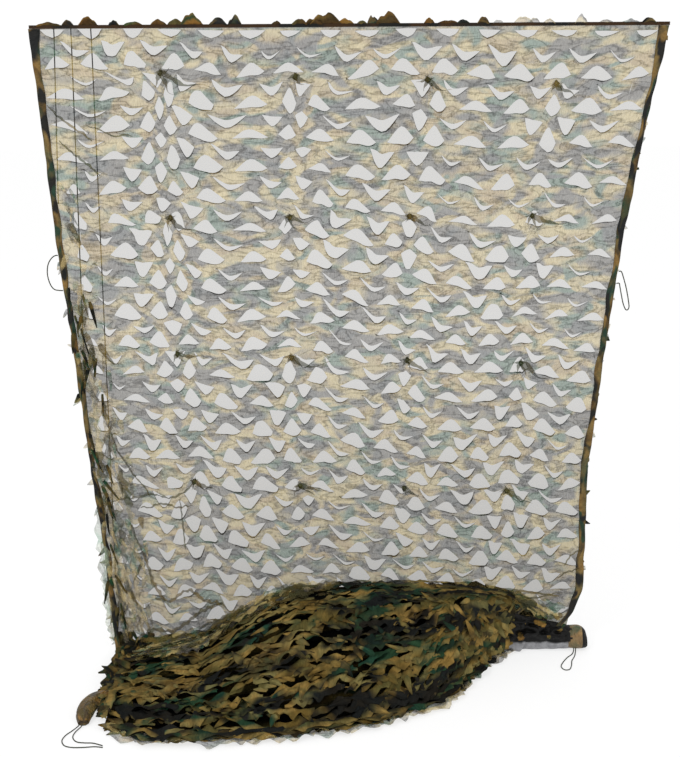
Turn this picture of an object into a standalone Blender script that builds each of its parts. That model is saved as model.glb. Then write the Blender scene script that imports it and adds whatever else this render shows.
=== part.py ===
"""A die-cut camouflage net, hung by its straight top edge, with its lower length heaped on the floor.

Frame: metres, +Z up. The origin is the middle of the top edge and +Y points away from the viewer.
The net is one sheet: it hangs, meets the heap at its crest, and then runs back and forth in layers
down to the floor. Tapes, corners, ties, carrier cords and tied gathers are solids of their own.
"""
import math
from collections import namedtuple

import bmesh
import bpy
from mathutils import Matrix, Vector
from mathutils.bvhtree import BVHTree

# ---------------------------------------------------------------- driving sizes
NET_WIDTH = 1.50
HANG_HEIGHT = 1.63
FLOOR_Z = -HANG_HEIGHT
CLOTH_THICKNESS = 0.0016
CONTACT_GAP = 0.0003

# The die-cut pattern: the larger, domed cut of each repeat, at its true pitch.
CUT_PITCH = 0.091
CUT_ROW_PITCH = 0.076
CUT_ROWS = 18
CUTS_PER_ROW = 15
FIRST_CUT_DROP = 0.030
CUT_HALF_WIDTH = 0.030
CUT_TOP_HALF_WIDTH = 0.013
CUT_BOTTOM_HALF_WIDTH = 0.019
CUT_RISE = 0.019
CUT_FALL = 0.009
ROW_RIPPLE = 0.004
LEFT_STRIP = 0.100
STRIP_COLUMNS = 3

# The leafy flaps that stand above the head tape.
FLAP_PITCH = 0.0455
FLAP_LOW = 0.007
FLAP_HIGH = 0.021

# Tapes.
HEAD_TAPE_HEIGHT = 0.008
SIDE_TAPE_WIDTH = 0.022
TAPE_THICKNESS = 0.002
TAPE_OVERHANG = 0.002

# Tied gathers, four rows of four.
GATHER_ROWS = 4
GATHER_COLUMNS = 4
FIRST_GATHER_X = 0.300
GATHER_PITCH_X = 0.320
FIRST_GATHER_DROP = 0.110
GATHER_PITCH_DROP = 0.345
GATHER_PULL = 0.010
GATHER_REACH = 0.070
PINCH_LENGTH = 0.20
PINCH_WIDTH = 0.06
PINCH_NARROWING = 0.5
PINCH_STRETCH = 0.010
KNOT_RADIUS = 0.0075
KNOT_DEPTH = 0.006
KNOT_SIDES = 8
KNOT_SAMPLES = 24

CORD_DIAMETER = 0.003
CORD_RADIUS = CORD_DIAMETER / 2
CORD_STEP = CORD_DIAMETER * 2.5

# How the two side edges of the sheet hang, by the drop below the top edge.
HangRow = namedtuple("HangRow", "drop left right")
HANG_ROWS = (
    HangRow(0.00, -0.750, 0.752),
    HangRow(0.22, -0.737, 0.713),
    HangRow(0.47, -0.724, 0.676),
    HangRow(0.80, -0.697, 0.642),
    HangRow(1.10, -0.673, 0.615),
    HangRow(1.40, -0.645, 0.616),
    HangRow(1.63, -0.629, 0.572),
)

# The heap from its left end to its right end: where its brow, front and back lie, and its height.
HeapRow = namedtuple("HeapRow", "x brow front back crest")
HEAP_ROWS = (
    HeapRow(-0.580, -0.060, -0.395, -0.020, 0.034),
    HeapRow(-0.470, -0.040, -0.432, 0.030, 0.052),
    HeapRow(-0.300, -0.030, -0.432, 0.045, 0.118),
    HeapRow(-0.140, -0.030, -0.415, 0.050, 0.200),
    HeapRow(0.050, -0.030, -0.365, 0.050, 0.218),
    HeapRow(0.200, -0.030, -0.290, 0.050, 0.208),
    HeapRow(0.300, -0.030, -0.180, 0.050, 0.200),
    HeapRow(0.360, -0.030, -0.098, 0.050, 0.194),
    HeapRow(0.415, -0.020, -0.055, 0.060, 0.180),
    HeapRow(0.455, 0.024, 0.040, 0.095, 0.160),
    HeapRow(0.500, 0.026, 0.042, 0.095, 0.120),
    HeapRow(0.535, 0.028, 0.044, 0.090, 0.085),
)
HEAP_COLUMNS = 15
HEAP_EVEN_END = 0.415
HEAP_END_COLUMNS = (0.455, 0.500, 0.535)
FRONT_FOLDS = 6
HEAP_LAYERS = 2 * FRONT_FOLDS - 1
FRONT_LOBE = 0.010
LOBED_DEPTH = 0.30
BACK_STEP = 0.008
FOLD_DROOP = 0.7
HEAP_CLEARANCE = 0.0004

# The crumpled pleat between the left tape and the first cuts.
PLEAT_ACROSS = 0.062
PLEAT_RISE = 0.012
PLEAT_REACH = 0.022
PLEAT_START = 0.35


# ---------------------------------------------------------------- helpers
def read_row(rows, key, at, column):
    """Reads one column of a short table at a place between its rows."""
    first, last = rows[0], rows[-1]
    if at <= getattr(first, key):
        return getattr(first, column)
    for low, high in zip(rows, rows[1:]):
        start, end = getattr(low, key), getattr(high, key)
        if at <= end:
            share = (at - start) / (end - start)
            return getattr(low, column) + share * (getattr(high, column) - getattr(low, column))
    return getattr(last, column)


def mix(start, end, share):
    return start + (end - start) * share


def smooth_route(route, step):
    """Points every step along a Catmull-Rom curve through the route's own points."""
    knots = [Vector(point) for point in route]
    padded = [2 * knots[0] - knots[1]] + knots + [2 * knots[-1] - knots[-2]]
    dense = []
    per_span = 24
    for before, start, end, after in zip(padded, padded[1:], padded[2:], padded[3:]):
        for index in range(per_span):
            t = index / per_span
            dense.append(0.5 * (2 * start + (end - before) * t
                                + (2 * before - 5 * start + 4 * end - after) * t ** 2
                                + (3 * start - before - 3 * end + after) * t ** 3))
    dense.append(knots[-1])
    length = sum((b - a).length for a, b in zip(dense, dense[1:]))
    count = max(4, round(length / step))
    points = [dense[0]]
    walked, target = 0.0, length / count
    for a, b in zip(dense, dense[1:]):
        walked += (b - a).length
        if walked >= target - 1e-9 and len(points) < count:
            points.append(b)
            target += length / count
    points.append(dense[-1])
    return points


def make_material(name, colour, roughness):
    material = bpy.data.materials.new(name)
    material.use_nodes = True
    shader = material.node_tree.nodes["Principled BSDF"]
    shader.inputs["Base Color"].default_value = (*colour, 1.0)
    shader.inputs["Roughness"].default_value = roughness
    material.diffuse_color = (*colour, 1.0)
    return material


def add_object(name, data, material):
    item = bpy.data.objects.new(name, data)
    item.data.materials.append(material)
    bpy.context.scene.collection.objects.link(item)
    return item


def add_mesh_object(name, mesh_builder, material, smooth=False):
    mesh = bpy.data.meshes.new(name)
    bmesh.ops.recalc_face_normals(mesh_builder, faces=mesh_builder.faces)
    mesh_builder.to_mesh(mesh)
    mesh_builder.free()
    if smooth:
        mesh.shade_smooth()
    return add_object(name, mesh, material)


def surface_tree(item):
    """A search tree of an object's evaluated faces, to seat small pieces on them."""
    bpy.context.view_layer.update()
    return BVHTree.FromObject(item, bpy.context.evaluated_depsgraph_get())


# ---------------------------------------------------------------- the hung sheet
def gathers():
    """Each tied gather, in flat-cloth width and drop, a little off the even grid."""
    for row in range(GATHER_ROWS):
        for column in range(GATHER_COLUMNS):
            across = FIRST_GATHER_X + GATHER_PITCH_X * column + 0.008 * math.sin(2.3 * row + column)
            drop = FIRST_GATHER_DROP + GATHER_PITCH_DROP * row + 0.010 * column * (row % 3 != 1)
            yield across, drop


def wave_depth(drop):
    """How far the sheet's soft vertical waves swing to each side."""
    return 0.013 * min(drop / 1.2, 1.0) * min(drop / 0.06, 1.0)


def sway(across, drop):
    """The sheet's distance behind its hanging plane."""
    ruled = min(max(across, SIDE_TAPE_WIDTH), NET_WIDTH - SIDE_TAPE_WIDTH)
    broad = math.sin(2 * math.pi * ruled / 0.33 + 0.4)
    narrow = math.sin(2 * math.pi * ruled / 0.19 + 1.3 + 2.0 * drop)
    depth = wave_depth(drop) * (0.6 * broad + 0.4 * narrow)
    for gather_across, gather_drop in gathers():
        reach = math.hypot(ruled - gather_across, drop - gather_drop) / GATHER_REACH
        depth += GATHER_PULL * math.exp(-reach * reach)
    pleat = PLEAT_RISE * min(max((drop - PLEAT_START) / PLEAT_START, 0.0), 1.0)
    return depth - pleat * math.exp(-((ruled - PLEAT_ACROSS) / PLEAT_REACH) ** 2)


def hang_point(across, drop):
    """Maps flat-cloth width and drop to the hung sheet's middle surface."""
    left = read_row(HANG_ROWS, "drop", drop, "left")
    right = read_row(HANG_ROWS, "drop", drop, "right")
    return Vector((mix(left, right, across / NET_WIDTH), sway(across, drop), -drop))


def row_of_cuts(index):
    """The middles of one row's cuts, staggered by half a pitch in every other row."""
    shift = 0.5 if index % 2 else 0.0
    count = CUTS_PER_ROW - index % 2
    return [LEFT_STRIP + CUT_PITCH * (0.5 + shift + cut) for cut in range(count)]


def gather_pinch(across, drop):
    """How strongly the cloth below a gather is drawn together, from 0 to 1."""
    pinch = 0.0
    for gather_across, gather_drop in gathers():
        below = (drop - gather_drop) / PINCH_LENGTH
        if 0 < below < 1:
            beside = (across - gather_across) / (PINCH_WIDTH * (0.6 + below))
            pinch = max(pinch, math.exp(-beside * beside) * (1 - below) ** 0.5)
    return pinch


def row_places(index, drop, half_width, stretch):
    """A row's places as (across, drop): the left strip, both sides of each cut, the right margin."""
    places = [(0.0, drop), (SIDE_TAPE_WIDTH + TAPE_OVERHANG, drop), (PLEAT_ACROSS, drop)]
    for middle in row_of_cuts(index):
        pinch = gather_pinch(middle, drop)
        half = half_width * (1 - PINCH_NARROWING * pinch)
        height = drop + stretch * pinch + ROW_RIPPLE * math.sin(7 * middle + 1.7 * index)
        places += [(middle - half, height), (middle + half, height)]
    return places + [(NET_WIDTH - SIDE_TAPE_WIDTH - TAPE_OVERHANG, drop), (NET_WIDTH, drop)]


def cut_row_drops():
    """The drops of the three vertex rows round each row of cuts."""
    drops = []
    for index in range(CUT_ROWS):
        middle = FIRST_CUT_DROP + CUT_ROW_PITCH * index
        drops += [middle - CUT_RISE, middle, middle + CUT_FALL]
    return drops


def zip_rows(builder, upper, lower):
    """Fills the band between two rows of vertices whose counts may differ."""
    i = j = 0
    while i < len(upper) - 1 or j < len(lower) - 1:
        share_up = (i + 1) / (len(upper) - 1) if i < len(upper) - 1 else 2.0
        share_low = (j + 1) / (len(lower) - 1) if j < len(lower) - 1 else 2.0
        if share_up <= share_low:
            builder.faces.new((upper[i], upper[i + 1], lower[j]))
            i += 1
        else:
            builder.faces.new((upper[i], lower[j + 1], lower[j]))
            j += 1


def join_rows(builder, upper, lower, first_cut=None):
    """Fills the band between two equal rows with quads, leaving out the cuts."""
    for k in range(len(upper) - 1):
        inside_cut = first_cut is not None and first_cut <= k < len(upper) - 2 and (k - first_cut) % 2 == 0
        if not inside_cut:
            builder.faces.new((upper[k], upper[k + 1], lower[k + 1], lower[k]))


def add_flap_row(builder):
    """The top row: leafy flaps above the head tape, high and low by turns."""
    count = round(NET_WIDTH / FLAP_PITCH)
    row = []
    for k in range(count + 1):
        across = NET_WIDTH * k / count
        rise = mix(FLAP_LOW, FLAP_HIGH, 0.5 + 0.5 * math.sin(2.6 * k + 1.2 * math.sin(0.9 * k)))
        if k in (0, count):
            rise = 0.001
        point = hang_point(across, 0.0)
        row.append(builder.verts.new((point.x, point.y, rise)))
    return row


def add_hung_rows(builder):
    """Builds the hung sheet with its cuts and returns its last row of vertices."""
    previous = add_flap_row(builder)
    straight = [builder.verts.new(hang_point(NET_WIDTH * k / CUTS_PER_ROW, HEAD_TAPE_HEIGHT))
                for k in range(CUTS_PER_ROW + 1)]
    zip_rows(builder, previous, straight)
    previous = straight
    for index in range(CUT_ROWS):
        middle = FIRST_CUT_DROP + CUT_ROW_PITCH * index
        rows = []
        for drop, half_width, stretch in ((middle - CUT_RISE, CUT_TOP_HALF_WIDTH, -PINCH_STRETCH),
                                          (middle, CUT_HALF_WIDTH, 0.0),
                                          (middle + CUT_FALL, CUT_BOTTOM_HALF_WIDTH, PINCH_STRETCH)):
            places = row_places(index, drop, half_width, stretch)
            rows.append([builder.verts.new(hang_point(*place)) for place in places])
        zip_rows(builder, previous, rows[0])
        join_rows(builder, rows[0], rows[1], STRIP_COLUMNS)
        join_rows(builder, rows[1], rows[2], STRIP_COLUMNS)
        previous = rows[2]
    return previous


# ---------------------------------------------------------------- the heap
def heap_section(x, column):
    """One cross-section of the heap: the sheet from the crest down, back and forth to the floor."""
    brow = read_row(HEAP_ROWS, "x", x, "brow")
    front = read_row(HEAP_ROWS, "x", x, "front")
    back = read_row(HEAP_ROWS, "x", x, "back")
    crest = read_row(HEAP_ROWS, "x", x, "crest")
    lift = CLOTH_THICKNESS / 2 + HEAP_CLEARANCE
    spacing = (crest - 2 * lift) / (HEAP_LAYERS - 1)
    turn = spacing / 2

    def height(layer, forward_share):
        level = FLOOR_Z + lift + spacing * (HEAP_LAYERS - 1 - layer)
        droop = FOLD_DROOP * spacing * (1 - layer / (HEAP_LAYERS - 1)) * forward_share
        return level - droop

    points = []
    back_y = mix(brow, back, 0.4)
    lobe_size = FRONT_LOBE * min(abs(front - brow) / LOBED_DEPTH, 1.0)
    for fold in range(FRONT_FOLDS):
        layer = 2 * fold
        lobe = lobe_size * (1 if (column + fold) % 2 else -1) * min(1.0, (fold + 1) / 3)
        front_y = mix(brow, front, ((fold + 1) / FRONT_FOLDS) ** 0.85) + lobe
        points.append(Vector((x, mix(back_y, front_y, 0.5), height(layer, 0.4))))
        points.append(Vector((x, front_y + turn, height(layer, 1.0))))
        if fold == FRONT_FOLDS - 1:
            break
        points.append(Vector((x, front_y, (height(layer, 1.0) + height(layer + 1, 1.0)) / 2)))
        points.append(Vector((x, front_y + turn, height(layer + 1, 1.0))))
        back_y = back - BACK_STEP * (fold % 2)
        points.append(Vector((x, mix(front_y, back_y, 0.5), height(layer + 1, 0.4))))
        points.append(Vector((x, back_y - turn, height(layer + 1, 0.0))))
        points.append(Vector((x, back_y, (height(layer + 1, 0.0) + height(layer + 2, 0.0)) / 2)))
        points.append(Vector((x, back_y - turn, height(layer + 2, 0.0))))
    return points


def add_heap_rows(builder, last_hung_row):
    """Carries the sheet from the hung part over the crest and through the heap's layers."""
    places = [mix(HEAP_ROWS[0].x, HEAP_EVEN_END, k / (HEAP_COLUMNS - 1)) for k in range(HEAP_COLUMNS)]
    places += HEAP_END_COLUMNS
    crest_row = []
    for x in places:
        crest = read_row(HEAP_ROWS, "x", x, "crest")
        crest_row.append(Vector((x, 0.0, FLOOR_Z + crest + 0.006)))
    last_drop = cut_row_drops()[-1]
    half_way = []
    for k, point in enumerate(crest_row):
        across = NET_WIDTH * k / (len(crest_row) - 1)
        half_way.append(hang_point(across, (last_drop - point.z) / 2))
    previous = last_hung_row
    for row in (half_way, crest_row):
        vertices = [builder.verts.new(point) for point in row]
        zip_rows(builder, previous, vertices)
        previous = vertices
    sections = [heap_section(x, column) for column, x in enumerate(places)]
    for row in zip(*sections):
        vertices = [builder.verts.new(point) for point in row]
        join_rows(builder, previous, vertices)
        previous = vertices


def build_net_cloth(material):
    builder = bmesh.new()
    add_heap_rows(builder, add_hung_rows(builder))
    cloth = add_mesh_object("net_cloth", builder, material)
    solidify = cloth.modifiers.new("cloth_thickness", "SOLIDIFY")
    solidify.thickness = CLOTH_THICKNESS
    solidify.offset = 0.0
    return cloth


# ---------------------------------------------------------------- tapes
TAPE_BACK = CLOTH_THICKNESS / 2 + CONTACT_GAP


def build_head_tape(material):
    builder = bmesh.new()
    bmesh.ops.create_cube(builder, size=1.0)
    width = HANG_ROWS[0].right - HANG_ROWS[0].left
    bmesh.ops.scale(builder, vec=(width, TAPE_THICKNESS, HEAD_TAPE_HEIGHT), verts=builder.verts)
    tape = add_mesh_object("head_tape", builder, material)
    tape.location = ((HANG_ROWS[0].right + HANG_ROWS[0].left) / 2,
                     -TAPE_BACK - TAPE_THICKNESS / 2, -HEAD_TAPE_HEIGHT / 2)
    return tape


def tape_strip(name, outer, inner, material):
    """A flat tape between two edge lines, thickened toward the viewer."""
    builder = bmesh.new()
    outer_row = [builder.verts.new(point) for point in outer]
    inner_row = [builder.verts.new(point) for point in inner]
    for k in range(len(outer) - 1):
        builder.faces.new((outer_row[k], inner_row[k], inner_row[k + 1], outer_row[k + 1]))
    caps = bmesh.ops.extrude_face_region(builder, geom=list(builder.faces))
    moved = [item for item in caps["geom"] if isinstance(item, bmesh.types.BMVert)]
    rows = list(zip(outer, inner))
    for vertex in moved:
        k = min(range(len(rows)), key=lambda r: min((rows[r][0] - vertex.co).length,
                                                    (rows[r][1] - vertex.co).length))
        ahead = rows[min(k + 1, len(rows) - 1)][0] - rows[max(k - 1, 0)][0]
        across = rows[k][1] - rows[k][0]
        normal = across.cross(ahead).normalized()
        if normal.y > 0 or (abs(normal.y) < 0.5 and normal.z < 0):
            normal = -normal
        vertex.co += normal * TAPE_THICKNESS
    return add_mesh_object(name, builder, material)


def side_lines(side):
    """The outer and inner lines of a side tape's back face, down its margin of the sheet."""
    outer, inner = [], []
    drops = [HEAD_TAPE_HEIGHT + CONTACT_GAP] + cut_row_drops()
    for drop in drops:
        across = 0.0 if side == "left" else NET_WIDTH
        edge = hang_point(across, drop)
        outward = -1 if side == "left" else 1
        y = edge.y - TAPE_BACK
        outer.append(Vector((edge.x + outward * TAPE_OVERHANG, y, -drop)))
        inner.append(Vector((edge.x - outward * (SIDE_TAPE_WIDTH - TAPE_OVERHANG), y, -drop)))
    return outer, inner


def build_left_tape(material):
    """The left tape leaves the sheet, turns on the floor and runs forward beside the heap."""
    outer, inner = side_lines("left")
    Run = namedtuple("Run", "x y height")
    runs = (
        Run(-0.642, -0.009, 0.180), Run(-0.639, -0.012, 0.100), Run(-0.637, -0.017, 0.034),
        Run(-0.636, -0.026, 0.010), Run(-0.634, -0.044, 0.0006), Run(-0.627, -0.120, 0.0004),
        Run(-0.613, -0.200, 0.0004), Run(-0.610, -0.232, 0.0004),
    )
    for run in runs:
        middle = Vector((run.x, run.y, FLOOR_Z + run.height))
        outer.append(middle - Vector((SIDE_TAPE_WIDTH / 2, 0, 0)))
        inner.append(middle + Vector((SIDE_TAPE_WIDTH / 2, 0, 0)))
    return tape_strip("tape_left", outer, inner, material)


def build_right_tape(material):
    """The right tape swings inward below the sheet's last cuts and ends on the hem roll."""
    outer, inner = side_lines("right")
    Run = namedtuple("Run", "x y z")
    runs = (Run(0.605, -0.008, -1.43), Run(0.600, -0.006, -1.49), Run(0.588, -0.002, -1.535),
            Run(0.580, 0.004, ROLL_CENTRE_Z + ROLL_RADIUS + CONTACT_GAP))
    for run in runs:
        middle = Vector((run.x, run.y, run.z))
        outer.append(middle + Vector((SIDE_TAPE_WIDTH / 2, 0, 0.002)))
        inner.append(middle - Vector((SIDE_TAPE_WIDTH / 2, 0, 0)))
    outer[-1].z = inner[-1].z
    return tape_strip("tape_right", outer, inner, material)


# ---------------------------------------------------------------- corners
ROLL_RADIUS = 0.027
ROLL_CENTRE_Y = 0.004
ROLL_CENTRE_Z = FLOOR_Z + ROLL_RADIUS
ROLL_SIDES = 14
CORNER_SIDES = 10


def ring_tube(name, stations, sides, material):
    """A closed soft tube through stations of (middle, half width, half height)."""
    builder = bmesh.new()
    rings = []
    for k, (middle, half_width, half_height) in enumerate(stations):
        ahead = stations[min(k + 1, len(stations) - 1)][0] - stations[max(k - 1, 0)][0]
        up = Vector((0, 0, 1))
        side = up.cross(ahead).normalized()
        ring = []
        for step in range(sides):
            angle = 2 * math.pi * (step + 0.5) / sides
            offset = side * half_width * math.cos(angle) + up * half_height * math.sin(angle)
            ring.append(builder.verts.new(middle + offset))
        rings.append(ring)
    for ring, following in zip(rings, rings[1:]):
        for step in range(sides):
            after = (step + 1) % sides
            builder.faces.new((ring[step], ring[after], following[after], following[step]))
    builder.faces.new(rings[0])
    builder.faces.new(rings[-1])
    return add_mesh_object(name, builder, material, smooth=True)


def build_corner_right(material):
    """The rolled hem that lies from the heap's right end out to the net's corner."""
    Station = namedtuple("Station", "x swell")
    shape = (Station(0.458, 0.90), Station(0.485, 0.97), Station(0.540, 1.0), Station(0.600, 1.0),
             Station(0.622, 0.93), Station(0.634, 0.74), Station(0.638, 0.50))
    stations = []
    for station in shape:
        radius = ROLL_RADIUS * station.swell
        middle = Vector((station.x, ROLL_CENTRE_Y, FLOOR_Z + max(radius, 0.6 * ROLL_RADIUS)))
        stations.append((middle, radius, radius))
    return ring_tube("corner_right", stations, ROLL_SIDES, material)


CornerStation = namedtuple("CornerStation", "x y half_width half_height")
CORNER_LEFT = (
    CornerStation(-0.610, -0.2323, 0.013, 0.010),
    CornerStation(-0.610, -0.250, 0.014, 0.012),
    CornerStation(-0.614, -0.272, 0.016, 0.014),
    CornerStation(-0.624, -0.300, 0.018, 0.017),
    CornerStation(-0.640, -0.336, 0.020, 0.018),
    CornerStation(-0.650, -0.360, 0.018, 0.013),
    CornerStation(-0.656, -0.374, 0.010, 0.006),
)


def build_corner_left(material):
    """The folded end of the hem tape that sticks out of the heap's left end."""
    stations = []
    for station in CORNER_LEFT:
        middle = Vector((station.x, station.y, FLOOR_Z + station.half_height + CONTACT_GAP))
        stations.append((middle, station.half_width, station.half_height))
    return ring_tube("corner_left", stations, CORNER_SIDES, material)


# ---------------------------------------------------------------- cords
FLOOR_CORD_Z = FLOOR_Z + CORD_RADIUS + 0.0002


def build_cord(name, route, material):
    curve = bpy.data.curves.new(name, "CURVE")
    curve.dimensions = "3D"
    curve.bevel_depth = CORD_RADIUS
    curve.bevel_resolution = 2
    curve.use_fill_caps = True
    points = smooth_route(route, CORD_STEP)
    spline = curve.splines.new("POLY")
    spline.points.add(len(points) - 1)
    for target, point in zip(spline.points, points):
        target.co = (*point, 1.0)
    return add_object(name, curve, material)


def tape_edge(side, drop):
    """The middle of a side tape's outer edge, with the contact gap to whatever meets it."""
    outward = -1 if side == "left" else 1
    edge = hang_point(0.0 if side == "left" else NET_WIDTH, drop)
    x = edge.x + outward * (TAPE_OVERHANG + 2 * CONTACT_GAP)
    return Vector((x, edge.y - TAPE_BACK - TAPE_THICKNESS / 2, -drop))


def build_side_ties(material):
    """The tie loops half way down each side: both ends come straight out of the tape's edge."""
    lead = Vector((0.006, 0, 0))
    start, end = tape_edge("left", 0.546), tape_edge("left", 0.634)
    y = start.y
    build_cord("tie_left", (
        start, start - lead, (-0.7355, y - 0.002, -0.552), (-0.7445, y - 0.005, -0.567),
        (-0.7475, y - 0.007, -0.590), (-0.7435, y - 0.006, -0.614), (-0.7345, y - 0.003, -0.630),
        end - lead, end,
    ), material)
    start, end = tape_edge("right", 0.594), tape_edge("right", 0.624)
    y = start.y
    build_cord("tie_right", (
        start, start + lead, (0.6760, y - 0.001, -0.603), (0.6850, y - 0.004, -0.632),
        (0.6920, y - 0.007, -0.664), (0.6945, y - 0.008, -0.684), (0.6880, y - 0.008, -0.690),
        (0.6805, y - 0.007, -0.676), (0.6745, y - 0.005, -0.652), (0.6700, y - 0.002, -0.630),
        end + lead, end,
    ), material)


def corner_left_seats():
    """Two cord starts side by side on the flat end of the left corner, and the way it faces."""
    before, tip = CORNER_LEFT[-2:]
    facing = Vector((tip.x - before.x, tip.y - before.y, 0)).normalized()
    beside = Vector((-facing.y, facing.x, 0))
    middle = Vector((tip.x, tip.y, FLOOR_Z + tip.half_height)) + facing * CONTACT_GAP
    return middle - beside * 0.004, middle + beside * 0.004, facing


def build_corner_ties(material, roll):
    """The tie loop under the hem roll, and the two free ends at the left corner, on the floor."""
    roll_tree = surface_tree(roll)
    z = FLOOR_CORD_Z
    down_front = Vector((0, -0.80, -0.60))
    ends = []
    for x in (0.596, 0.606):
        middle = Vector((x, ROLL_CENTRE_Y, ROLL_CENTRE_Z))
        hit, normal, _, _ = roll_tree.ray_cast(middle + down_front * 0.1, -down_front)
        ends.append(hit + normal * CONTACT_GAP)
    lead = down_front * 0.006
    build_cord("tie_corner_right", (
        ends[0], ends[0] + lead, (0.590, -0.036, z), (0.575, -0.056, z), (0.559, -0.082, z),
        (0.551, -0.103, z), (0.557, -0.119, z), (0.570, -0.118, z), (0.579, -0.098, z),
        (0.587, -0.072, z), (0.599, -0.046, z), ends[1] + lead, ends[1],
    ), material)
    outer_seat, inner_seat, facing = corner_left_seats()
    build_cord("tie_corner_left_a", (
        outer_seat, outer_seat + facing * 0.010 - Vector((0, 0, 0.002)), (-0.676, -0.398, z),
        (-0.686, -0.415, z), (-0.690, -0.437, z),
        (-0.680, -0.458, z), (-0.660, -0.466, z), (-0.634, -0.466, z), (-0.608, -0.4635, z),
        (-0.588, -0.4665, z),
    ), material)
    build_cord("tie_corner_left_b", (
        inner_seat, inner_seat + facing * 0.010 - Vector((0, 0, 0.002)), (-0.666, -0.402, z),
        (-0.667, -0.424, z),
        (-0.655, -0.442, z), (-0.636, -0.447, z), (-0.614, -0.4485, z), (-0.590, -0.459, z),
    ), material)


def build_support_cords(material):
    """Cords of the carrier net that hang straight behind the left side of the sheet."""
    SupportRow = namedtuple("SupportRow", "x_top x_bottom drop_top drop_bottom")
    rows = (
        SupportRow(-0.693, -0.712, 0.006, 0.42),
        SupportRow(-0.653, -0.679, 0.006, 0.95),
        SupportRow(-0.606, -0.630, 0.006, 1.42),
    )
    flat_back = CLOTH_THICKNESS / 2 + CONTACT_GAP + CORD_RADIUS
    for number, row in enumerate(rows, start=1):
        route = []
        for share in (0.0, 0.04, 0.12, 0.3, 0.5, 0.7, 0.85, 1.0):
            drop = mix(row.drop_top, row.drop_bottom, share)
            y = flat_back + wave_depth(drop) + 0.002 * min(share / 0.04, 1.0)
            route.append((mix(row.x_top, row.x_bottom, share), y, -drop))
        curve = build_cord(f"support_cord_{number}", route, material).data
        thin_spline(curve, 24)


def thin_spline(curve, count):
    """Keeps about count points of a nearly straight cord, so it has few faces."""
    spline = curve.splines[0]
    points = [tuple(point.co) for point in spline.points]
    step = max(1, round(len(points) / count))
    kept = points[:-1:step] + [points[-1]]
    curve.splines.clear()
    thin = curve.splines.new("POLY")
    thin.points.add(len(kept) - 1)
    for target, co in zip(thin.points, kept):
        target.co = co


def build_gather_knots(material, cloth):
    """A small knot in front of each gather, its flat back seated on the sheet's front face."""
    tree = surface_tree(cloth)
    for number, (across, drop) in enumerate(gathers(), start=1):
        place = hang_point(across, drop)
        builder = bmesh.new()
        bmesh.ops.create_cone(builder, cap_ends=True, segments=KNOT_SIDES, radius1=KNOT_RADIUS,
                              radius2=KNOT_RADIUS * 0.5, depth=KNOT_DEPTH,
                              matrix=Matrix.Rotation(math.radians(90), 4, "X"))
        knot = add_mesh_object(f"gather_knot_{number}", builder, material)
        seat = front_of_sheet(tree, place.x, place.z) - CONTACT_GAP
        knot.location = (place.x, seat - KNOT_DEPTH / 2, place.z)


def front_of_sheet(tree, x, z):
    """The nearest that the sheet's front face comes to the viewer behind one knot."""
    nearest = math.inf
    for reach in (0.0, KNOT_RADIUS * 0.5, KNOT_RADIUS):
        for step in range(KNOT_SAMPLES):
            angle = 2 * math.pi * step / KNOT_SAMPLES
            start = Vector((x + reach * math.cos(angle), -0.2, z + reach * math.sin(angle)))
            hit, _, _, _ = tree.ray_cast(start, Vector((0, 1, 0)))
            if hit is not None:
                nearest = min(nearest, hit.y)
    return nearest


def main():
    for item in list(bpy.data.objects):
        bpy.data.objects.remove(item, do_unlink=True)
    cloth_material = make_material("net_cloth", (0.36, 0.33, 0.22), 0.85)
    tape_material = make_material("edge_tape", (0.10, 0.09, 0.05), 0.75)
    cord_material = make_material("dark_cord", (0.03, 0.035, 0.025), 0.7)
    knot_material = make_material("gather_thread", (0.10, 0.12, 0.05), 0.8)
    cloth = build_net_cloth(cloth_material)
    build_head_tape(tape_material)
    build_left_tape(tape_material)
    build_right_tape(tape_material)
    roll = build_corner_right(tape_material)
    build_corner_left(tape_material)
    build_side_ties(cord_material)
    build_corner_ties(cord_material, roll)
    build_support_cords(cord_material)
    build_gather_knots(knot_material, cloth)


main()
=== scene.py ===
"""Looks of a die-cut camouflage net, hung by its top edge, with its lower length heaped on the floor.

Metres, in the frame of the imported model: the origin is the middle of the net's top edge, +Y points
away from the viewer and the floor lies at the bottom of the net's box.
"""

import math
import random
from collections import namedtuple

import bpy
from mathutils import Euler, Matrix, Vector, noise


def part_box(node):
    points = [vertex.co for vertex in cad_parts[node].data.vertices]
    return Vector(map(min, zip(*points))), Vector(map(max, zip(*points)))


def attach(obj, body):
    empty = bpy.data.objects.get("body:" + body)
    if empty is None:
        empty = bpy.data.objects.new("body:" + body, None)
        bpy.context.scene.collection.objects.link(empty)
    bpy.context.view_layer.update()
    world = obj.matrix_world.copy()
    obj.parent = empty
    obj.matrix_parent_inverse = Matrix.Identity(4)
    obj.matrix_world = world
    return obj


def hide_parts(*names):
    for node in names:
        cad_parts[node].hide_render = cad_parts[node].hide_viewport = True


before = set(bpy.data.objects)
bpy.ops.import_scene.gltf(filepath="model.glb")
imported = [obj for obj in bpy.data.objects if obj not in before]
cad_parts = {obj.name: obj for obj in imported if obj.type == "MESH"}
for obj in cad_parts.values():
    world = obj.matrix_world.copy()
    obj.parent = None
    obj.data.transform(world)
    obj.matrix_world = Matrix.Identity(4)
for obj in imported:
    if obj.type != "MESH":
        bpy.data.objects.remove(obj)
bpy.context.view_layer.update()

# ---------------------------------------------------------------- sizes from the frame
FLOOR_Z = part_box("net_cloth")[0][2]
HEAD_LOW, HEAD_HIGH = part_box("head_tape")
HEAD_TAPE_HEIGHT = HEAD_HIGH[2] - HEAD_LOW[2]
ROLL_LOW, ROLL_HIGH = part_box("corner_right")
SHEET_LEFT, SHEET_RIGHT = HEAD_LOW[0], HEAD_HIGH[0]
NET_WIDTH = 1.50
TAPE_WIDTH = 0.022
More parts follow.
